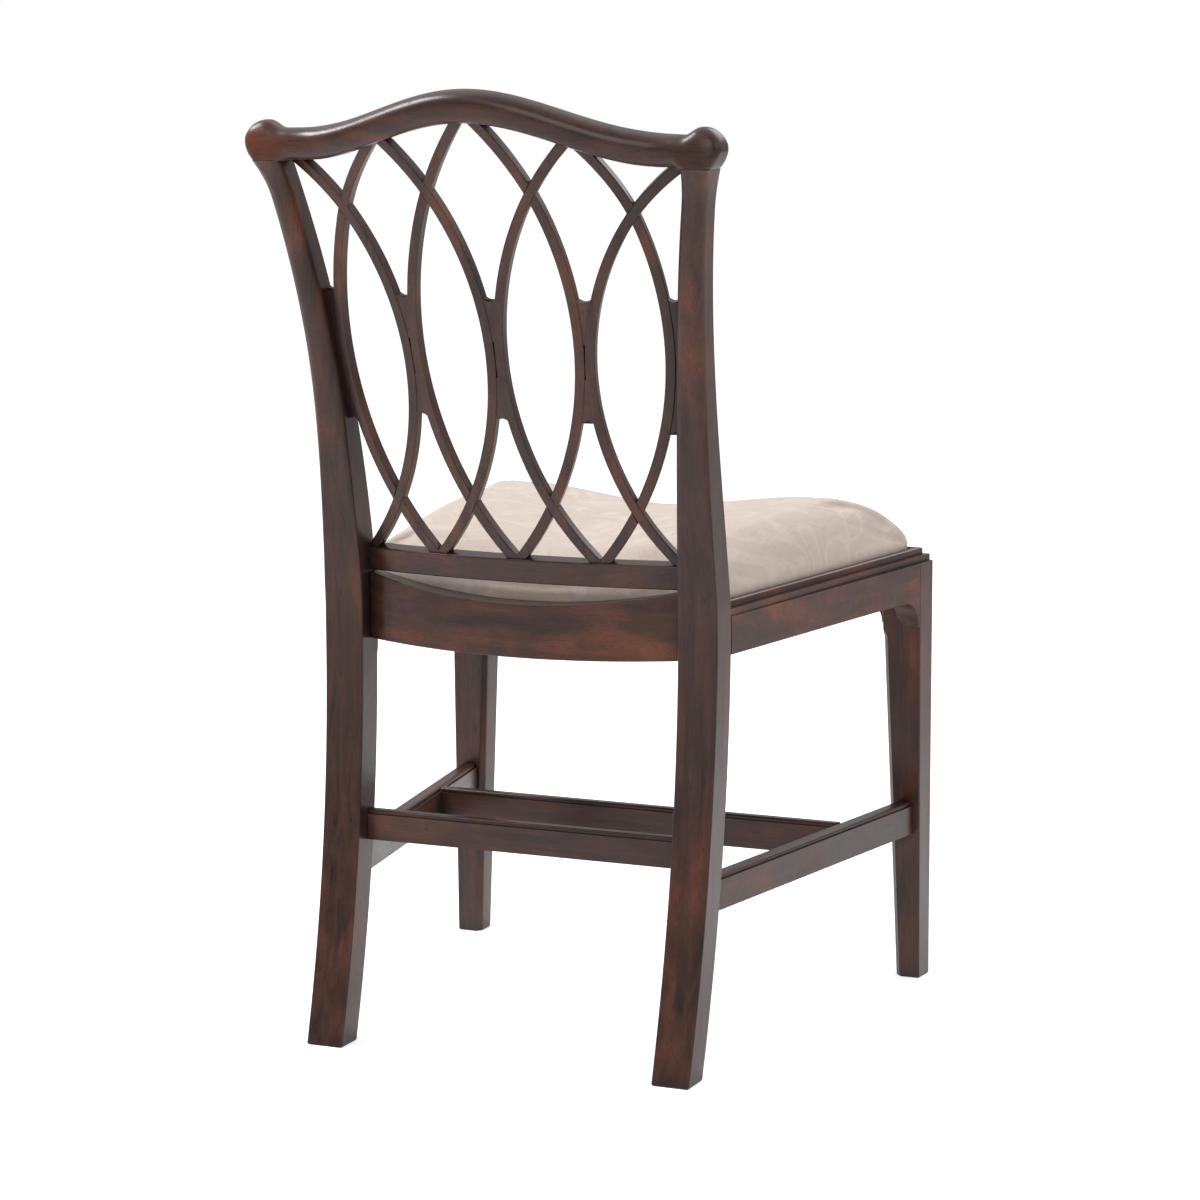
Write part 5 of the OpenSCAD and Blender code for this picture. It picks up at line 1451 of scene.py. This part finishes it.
    def build_spacer(self, number: int, gap: Gap, mirror: bool) -> None:
        """Makes one spacer between two edges, with hollow wide ends.

        Args:
            number: Number of the spacer.
            gap: The gap that it fills.
            mirror: Whether it stands on the right side.
        """
        rings: list[Ring] = []
        for k in range(self.spacer_rows + 1):
            u = k / self.spacer_rows
            level: list[Flat] = []
            for t in steps(0.0, 1.0, self.spacer_cells):
                dip = self.spacer_hollow * (1 - (2 * t - 1) ** 2)
                z = lerp(gap.low, gap.high, u) + dip * ((1 - u) * gap.hollow_low - u * gap.hollow_high)
                level.append((lerp(gap.left(z), gap.right(z), t), z))
            front = [self.surface.point(x, z, self.bar_t - self.spacer_back) for x, z in level]
            rear = [self.surface.point(x, z, self.spacer_back) for x, z in reversed(level)]
            rings.append(front + rear)
        node = f"trellis_spacer_{number}"
        piece = self.shop.loft(node + "_piece", mirrored(rings) if mirror else rings)
        self.shop.shade(piece, self.sharp_angle)
        self.shop.place_wood(piece, "mahogany_red", Grain.UPRIGHT, node)

    def gaps(self) -> list[Gap]:
        """The gaps: two on the middle line, and on one side two between ovals and one at the stile.

        Returns:
            The five gaps, from the middle line outwards.
        """
        outer, facing, inner, middle = self.arcs

        def between(left: Edge, right: Edge, mid: float) -> list[Gap]:
            """The lower and the upper gap of one meeting line."""
            return [Gap(left, right, mid - self.spacer_reach, mid - self.spacer_tip, 1, 0),
                    Gap(left, right, mid + self.spacer_tip, mid + self.spacer_reach, 0, 1)]

        in_middle = between(lambda z: -self.edge(middle, z, -1), lambda z: self.edge(middle, z, -1),
                            middle.widest_z)
        in_ovals = between(lambda z: self.edge(inner, z, 1), lambda z: self.edge(facing, z, -1),
                           (inner.widest_z + facing.widest_z) / 2)
        at_stile = Gap(lambda z: self.edge(outer, z, 1), self.stile_face, self.stile_mid - self.stile_half,
                       self.stile_mid + self.stile_half, 1, 1)
        return in_middle + in_ovals + [at_stile]

    def build(self) -> None:
        """Makes the bars and the spacers."""
        for side in Side:
            for number in range(len(self.arcs)):
                self.build_bar(number, side)
        middle_low, middle_high, oval_low, oval_high, at_stile = self.gaps()
        plan = [(1, at_stile, True), (2, oval_low, True), (3, oval_high, True), (4, middle_low, False),
                (5, middle_high, False), (6, oval_low, False), (7, oval_high, False), (8, at_stile, False)]
        for number, gap, mirror in plan:
            self.build_spacer(number, gap, mirror)


@dataclass
class LowerBackRail:
    """The bowed rail under the trellis."""

    shop: Workshop
    surface: BackSurface
    z: float = 490.0
    height: float = 25.0
    thickness: float = 17.0
    proud: float = 3.0
    half: float = 178.0
    arris: float = 1.8
    cells: int = 60
    sharp_angle: float = 50.0

    def build(self) -> None:
        """Makes the rail."""
        lo, hi = self.z, self.z + self.height
        rear = self.thickness - self.proud
        section = rounded_section(-self.proud, rear, lo, hi, (self.arris,) * 4, parts=4)
        stations = steps(-self.half, self.half, self.cells)
        rings = [[self.surface.point(x, z, d) for d, z in section] for x in stations]
        piece = self.shop.loft("lower_back_rail_piece", [list(reversed(r)) for r in rings])
        self.shop.shade(piece, self.sharp_angle)
        self.shop.weigh(piece)
        self.shop.place_wood(piece, "mahogany_mid", Grain.CROSSWISE, "lower_back_rail")


@dataclass
class Rails:
    """Seat rails, mouldings, stretchers and corner blocks, each an eased copy of its solid."""

    shop: Workshop
    rail_arris: float = 1.3
    moulding_arris: float = 2.3
    stretcher_arris: float = 1.0
    block_arris: float = 0.8

    def build(self) -> None:
        """Makes all the rails."""
        across, along = Grain.CROSSWISE, Grain.LENGTHWISE
        mid, dark = "mahogany_mid", "mahogany_dark"
        plan = [
            (("seat_rail_front", "seat_rail_rear"), self.rail_arris, mid, across),
            (("seat_rail_left", "seat_rail_right"), self.rail_arris, mid, along),
            (("seat_moulding_front",), self.moulding_arris, mid, across),
            (("seat_moulding_left", "seat_moulding_right"), self.moulding_arris, mid, along),
            (("side_stretcher_left", "side_stretcher_right"), self.stretcher_arris, dark, along),
            (("rear_stretcher", "cross_stretcher"), self.stretcher_arris, dark, across),
        ]
        for nodes, arris, slot, grain in plan:
            for node in nodes:
                self.shop.place_wood(self.shop.eased(node, arris), slot, grain, node)
        beech = PlainTimber("beech_crosswise", across)
        for corner in ("front_left", "front_right", "rear_left", "rear_right"):
            node = "corner_block_" + corner
            self.shop.place(self.shop.eased(node, self.block_arris), beech, "beech", Body.FRAME, node)
        self.shop.paint("corner_block_screws", ScrewSteel("screw_steel_plated"))


@dataclass
class SeatFrame:
    """The loose seat's wooden frame, its webbing and the black cloth under it."""

    shop: Workshop
    arris: float = 1.2
    jute: Cloth = Cloth("jute_webbing", (0.42, 0.28, 0.14), 0.0016)
    cambric: Cloth = Cloth("black_cambric", (0.012, 0.012, 0.013), 0.0009)

    def build(self) -> None:
        """Makes the hidden members of the seat."""
        members = {"front": Grain.CROSSWISE, "rear": Grain.CROSSWISE,
                   "left": Grain.LENGTHWISE, "right": Grain.LENGTHWISE}
        for name, grain in members.items():
            node = "seat_frame_" + name
            finish = PlainTimber("beech_" + grain.name.lower(), grain)
            self.shop.place(self.shop.eased(node, self.arris), finish, "beech", Body.SEAT, node)
        self.shop.paint("seat_webbing", self.jute)
        self.shop.paint("dust_cover", self.cambric)


@dataclass
class Cushion:
    """The padded, damask covered cushion of the loose seat."""

    shop: Workshop
    lines: SeatLines
    mould_edge: float = 1.5
    mould_w: float = 13.0
    mould_h: float = 14.4
    seat_gap: float = 1.2
    arc_r: float = 885.0
    arc_off: float = 15.5
    corner_r: float = 10.0
    overhang: float = 5.0
    crown_h: float = 56.0
    saddle_h: float = 13.0
    saddle_x: float = 175.0
    rear_fall: float = 12.0
    round_over: float = 58.0
    dome_power: float = 0.92
    slack: float = 2.0
    voxel: float = 4.5
    pressure: float = 4.0
    cap: float = 5.0
    frames: int = 20
    cloth_quality: int = 5
    held_h: float = 1.0
    base_h: float = 1.5
    base_in: float = 0.1
    waist_h: float = 0.8
    waist_end: float = 9.0
    waist_steps: tuple[float, ...] = (1.6, 4.0)
    hollow_h: float = 17.6
    hollow_from: float = 6.0
    hollow_in: float = 4.2
    front_cells: int = 14
    corner_cells: int = 8
    side_cells: int = 16
    turn_cells: int = 6
    rear_cells: int = 14
    dome_rings: int = 14
    flat_scales: tuple[float, ...] = (0.7, 0.6, 0.5, 0.4, 0.3, 0.2, 0.1, 0.03)
    finish: Damask = Damask("damask_scroll", (0.590, 0.492, 0.430), (0.650, 0.568, 0.508),
                            (0.44, 0.35, 0.295))
    fill: float = 0.7

    def __post_init__(self) -> None:
        """Sets out the cushion's plan."""
        lines = self.lines
        self.leg_front_y = -lines.leg_d
        self.front_line = lines.front_y + self.mould_edge
        self.rear_x = lines.rear_w / 2 - self.mould_edge
        self.splay = (lines.front_w - lines.rear_w) / 2 / (self.leg_front_y - self.front_line)
        self.angle = math.atan(self.splay)
        self.y0 = self.front_line + self.mould_w + self.seat_gap
        self.arc_y = self.leg_front_y + self.arc_off
        self.arc_mid = self.arc_y - self.arc_r
        self.rear_r = self.arc_r - self.seat_gap
        self.inset = self.mould_w + self.seat_gap + self.corner_r
        self.fy = self.y0 + self.corner_r
        self.fx = self.side_x(self.fy)
        x = self.side_x(self.leg_front_y)
        for _ in range(3):
            y = self.arc_mid + math.sqrt((self.rear_r - self.corner_r) ** 2 - x * x)
            x = self.side_x(y)
        self.rx, self.ry = x, y
        self.rear_turn = math.atan2(self.ry - self.arc_mid, self.rx)
        self.mid_y = (self.y0 + self.arc_y) / 2
        self.moulding_top = lines.frame_top_z + self.mould_h

    def side_x(self, y: float) -> float:
        """Centre line of the plan's side corners at a y."""
        return self.rear_x + (self.leg_front_y - y) * self.splay - self.inset / math.cos(self.angle)

    def outline(self, grow: float, swell: float) -> list[Flat]:
        """Plan of the cushion, counter-clockwise.

        Args:
            grow: Offset of the whole outline.
            swell: Further offset of its front and sides.

        Returns:
            The points of the plan.
        """
        q = self.corner_r + grow + swell
        cells = self.front_cells
        half: list[Flat] = [(self.fx * k / cells, self.fy - q) for k in range(1, cells)]
        for a in steps(-math.pi / 2, self.angle, self.corner_cells):
            half.append((self.fx + q * math.cos(a), self.fy + q * math.sin(a)))
        for t in steps(0, 1, self.side_cells)[1:-1]:
            x, y = lerp(self.fx, self.rx, t), lerp(self.fy, self.ry, t)
            half.append((x + q * math.cos(self.angle), y + q * math.sin(self.angle)))
        for t in steps(0, 1, self.turn_cells):
            a, r = lerp(self.angle, self.rear_turn, t), q - swell * t
            half.append((self.rx + r * math.cos(a), self.ry + r * math.sin(a)))
        for a in steps(self.rear_turn, math.pi / 2, self.rear_cells)[1:-1]:
            r = self.rear_r + grow
            half.append((r * math.cos(a), self.arc_mid + r * math.sin(a)))
        front = (0.0, self.fy - q)
        back = (0.0, self.arc_mid + self.rear_r + grow)
        return [front] + half + [back] + [(-x, y) for x, y in reversed(half)]

    def crown(self, x: float, y: float) -> float:
        """Height of the cushion's top at a point of the plan."""
        return (self.lines.frame_top_z + self.crown_h + self.saddle_h * smooth(abs(x) / self.saddle_x)
                - self.rear_fall * smooth(share(y, self.mid_y - self.lines.leg_w, self.arc_y)))

    def rings(self, inset: float) -> list[Ring]:
        """Rings of the pad before it swells.

        Args:
            inset: How far the pad stays inside the cushion's form, in mm.

        Returns:
            The rings, from the base up to the middle of the top.
        """
        z0, z1 = self.moulding_top + self.waist_h, self.moulding_top + self.waist_end
        base_z = self.lines.frame_top_z + self.base_h
        rings: list[Ring] = [[(x, y, base_z) for x, y in self.outline(-self.base_in, 0.0)]]
        for z in (z0, *(z0 + step for step in self.waist_steps), z1):
            part = smooth(share(z, z0, z1))
            plan = self.outline(-inset * part - self.base_in, self.overhang * part)
            rings.append([(x, y, z) for x, y in plan])
        rim = self.outline(-inset, self.overhang)
        tight = self.round_over / (self.lines.front_w / 2)

        def dome(scale: float, part: float) -> Ring:
            """One ring of the dome.

            Args:
                scale: Size of the ring as a share of the rim.
                part: Share of the way up to the crown.

            Returns:
                The ring's points.
            """
            ring: Ring = []
            for px, py in rim:
                x, y = px * scale, self.mid_y + (py - self.mid_y) * scale
                ring.append((x, y, lerp(z1, self.crown(x, y) - inset, part)))
            return ring

        for u in steps(0.0, 1.0, self.dome_rings)[1:]:
            rings.append(dome(1 - tight * u, (1 - (1 - u) ** 2) ** self.dome_power))
        return rings + [dome(scale, 1.0) for scale in self.flat_scales]

    def swell_up(self, pad: Piece) -> None:
        """Inflates the pad by cloth simulation, holds it to a cap and smooths it.

        Args:
            pad: The pad, changed in place.
        """
        remesh = pad.modifiers.new("remesh", "REMESH")
        remesh.mode = "VOXEL"
        remesh.voxel_size = self.voxel * MM
        self.shop.bake_down(pad)
        start = [v.co.copy() for v in pad.data.vertices]
        held = pad.vertex_groups.new(name="held")
        limit = (self.moulding_top + self.held_h) * MM
        held.add([v.index for v in pad.data.vertices if v.co.z < limit], 1.0, "REPLACE")
        modifier = pad.modifiers.new("cloth", "CLOTH")
        settings = modifier.settings
        settings.use_pressure = True
        settings.uniform_pressure_force = self.pressure
        settings.effector_weights.gravity = 0.0
        settings.vertex_group_mass = "held"
        settings.quality = self.cloth_quality
        modifier.point_cache.frame_start = 1
        modifier.point_cache.frame_end = self.frames
        scene = bpy.context.scene
        for frame in range(1, self.frames + 1):
            scene.frame_set(frame)
        self.shop.bake_down(pad)
        scene.frame_set(1)
        cap = self.cap * MM
        for vertex, origin in zip(pad.data.vertices, start):
            move = vertex.co - origin
            if move.length > cap:
                vertex.co = origin + move * (cap / move.length)
        pad.vertex_groups.clear()

    def hollow_base(self, pad: Piece) -> None:
        """Raises the base inside the rim, so that the cover wraps the seat frame's edge.

        Args:
            pad: The pad, changed in place.
        """
        top = (self.lines.frame_top_z + self.hollow_h) * MM
        low = (self.lines.frame_top_z + self.hollow_from) * MM
        inner = self.outline(-self.hollow_in, 0.0)
        for vertex in pad.data.vertices:
            x, y, z = vertex.co
            if z < low and self.inside(x / MM, y / MM - self.shop.shift_y, inner):
                vertex.co.z = top

    @staticmethod
    def inside(x: float, y: float, plan: list[Flat]) -> bool:
        """Whether a point lies in a plan.

        Args:
            x: Distance from the chair's middle in mm.
            y: The point's y in mm.
            plan: The points of the plan.

        Returns:
            True where the plan holds the point.
        """
        hit = False
        for (x0, y0), (x1, y1) in zip(plan, plan[1:] + plan[:1]):
            if (y0 > y) != (y1 > y) and x < (x1 - x0) * (y - y0) / (y1 - y0) + x0:
                hit = not hit
        return hit

    def build(self) -> None:
        """Makes the cushion."""
        pad = self.shop.loft("cushion", self.rings(self.slack))
        self.swell_up(pad)
        self.hollow_base(pad)
        fine = pad.modifiers.new("fine", "SUBSURF")
        fine.levels = 1
        fine.render_levels = 1
        self.shop.bake_down(pad)
        pad.data.shade_smooth()
        self.shop.place(pad, self.finish, "damask", Body.SEAT, "seat_cover", "seat_foam")


@dataclass(frozen=True)
class Lamp:
    """One soft square lamp: its place and side in metres and its power in watts."""

    name: str
    place: tuple[float, float, float]
    side: float
    power: float


@dataclass
class Studio:
    """The camera at the photograph's angle, the pale floor and the soft lights."""

    shift_y: float
    azimuth: float = 203.846
    elevation: float = 9.4006
    roll: float = -0.185
    lens: float = 119.504
    sensor: float = 36.0
    eye: tuple[float, float, float] = (-1688.0, 3610.1, 1131.8)
    floor_half: float = 14.0
    low_glow: float = 0.25
    high_glow: float = 0.98
    front_glow: float = 1.0
    rear_glow: float = 0.45
    near_floor: float = 0.9
    far_floor: float = 2.2
    floor_glow: float = 0.5
    floor_front: float = -0.3
    floor_rear: float = 0.5
    rear_share: float = 0.25
    shown_glow: float = 0.62
    floor_grey: Colour = (0.78, 0.78, 0.78)
    sky_low: float = -0.1
    sky_high: float = 0.9
    sky_front: float = -0.25
    sky_rear: float = 0.35
    target: tuple[float, float, float] = (0.0, 0.0, 0.55)
    lamps: tuple[Lamp, ...] = (
        Lamp("key", (2.3, 0.5, 2.9), 1.3, 95.0), Lamp("fill", (-0.6, 3.6, 2.4), 2.4, 46.0),
        Lamp("rim", (-0.6, -2.8, 2.6), 1.8, 24.0), Lamp("side", (-3.2, 0.9, 1.9), 1.8, 13.0))

    def camera(self) -> None:
        """Places the camera."""
        az, el, roll = (math.radians(v) for v in (self.azimuth, self.elevation, self.roll))
        back = Vector((math.sin(az) * math.cos(el), -math.cos(az) * math.cos(el), math.sin(el)))
        right = Vector((math.cos(az), math.sin(az), 0.0))
        up = back.cross(right)
        turned = math.cos(roll) * right + math.sin(roll) * up
        upright = -math.sin(roll) * right + math.cos(roll) * up
        data = bpy.data.cameras.new("camera")
        data.sensor_fit = "HORIZONTAL"
        data.sensor_width = self.sensor
        data.lens = self.lens
        camera = Workshop.link("camera", data)
        matrix = Matrix((turned, upright, back)).transposed().to_4x4()
        x, y, z = self.eye
        matrix.translation = Vector((x, y + self.shift_y, z)) * MM
        camera.matrix_world = matrix
        bpy.context.scene.camera = camera

    def light(self, lamp: Lamp) -> None:
        """Sets up one lamp that faces the chair.

        Args:
            lamp: The lamp's settings.
        """
        data = bpy.data.lights.new(lamp.name, "AREA")
        data.shape = "SQUARE"
        data.size = lamp.side
        data.energy = lamp.power
        place = Vector(lamp.place)
        light = Workshop.link(lamp.name, data)
        light.location = place
        light.rotation_euler = (place - Vector(self.target)).to_track_quat("Z", "Y").to_euler()

    def seen(self, g: Graph) -> Socket:
        """A socket that is 1 for rays that show the background."""
        path = g.add("LightPath")
        return g.math("MAXIMUM", path.outputs["Is Camera Ray"], path.outputs["Is Transmission Ray"])

    def floor(self) -> None:
        """Makes the pale floor."""
        h = self.floor_half
        data = bpy.data.meshes.new("floor")
        data.from_pydata([(-h, -h, 0), (h, -h, 0), (h, h, 0), (-h, h, 0)], [], [(0, 1, 2, 3)])
        floor = Workshop.link("floor", data)
        material = bpy.data.materials.new("pale_floor")
        g = Graph(material)
        matt = g.add("BsdfDiffuse", {"Color": rgba(self.floor_grey)}).outputs[0]
        spot = g.place()
        away = g.add("VectorMath", {0: spot}, operation="LENGTH").outputs["Value"]
        near = g.span(away, self.near_floor, self.far_floor, self.floor_glow, 0.0)
        ahead = g.add("SeparateXYZ", {0: spot}).outputs[1]
        near = g.times(near, g.span(ahead, self.floor_front, self.floor_rear, 1.0, self.rear_share))
        glow = g.span(self.seen(g), 0.0, 1.0, near, self.shown_glow)
        light = g.add("Emission", {"Color": rgba(WHITE), "Strength": glow}).outputs[0]
        mixed = g.add("AddShader", {0: matt, 1: light}).outputs[0]
        g.add("OutputMaterial", {"Surface": mixed})
        data.materials.append(material)

    def world(self) -> None:
        """Lights the room softly, with a white background for the camera."""
        world = bpy.data.worlds.new("studio")
        bpy.context.scene.world = world
        g = Graph(world)
        white = g.add("Background", {"Color": rgba(WHITE), "Strength": 1.0}).outputs[0]
        way = g.add("SeparateXYZ", {0: g.add("TexCoord").outputs["Generated"]})
        height = g.span(way.outputs[2], self.sky_low, self.sky_high, self.low_glow, self.high_glow)
        side = g.span(way.outputs[1], self.sky_front, self.sky_rear, self.front_glow, self.rear_glow)
        room = g.add("Background", {"Color": rgba(WHITE), "Strength": g.times(height, side)}).outputs[0]
        both = g.add("MixShader", {0: self.seen(g), 1: room, 2: white}).outputs[0]
        g.add("OutputWorld", {"Surface": both})

    def build(self) -> None:
        """Sets the whole studio up."""
        self.camera()
        self.floor()
        self.world()
        for lamp in self.lamps:
            self.light(lamp)
        bpy.context.scene.view_settings.view_transform = "Standard"


def main() -> None:
    """Builds every sub-assembly and reports each piece."""
    logging.basicConfig(level=logging.INFO, format="%(message)s")
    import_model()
    lines = SeatLines()
    shift_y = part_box("front_leg_left")[0].y / MM - lines.front_y
    shop = Workshop(shift_y)
    surface = BackSurface()
    legs = RearLegs(shop, lines)
    crest = CrestRail(shop, legs, surface)
    assemblies = [Studio(shift_y), legs, FrontLegs(shop, lines), crest, Trellis(shop, surface, crest),
                  LowerBackRail(shop, surface), Rails(shop), SeatFrame(shop), Cushion(shop, lines)]
    for assembly in assemblies:
        assembly.build()
        LOG.info("%s built", type(assembly).__name__)


if __name__ == "__main__":
    main()
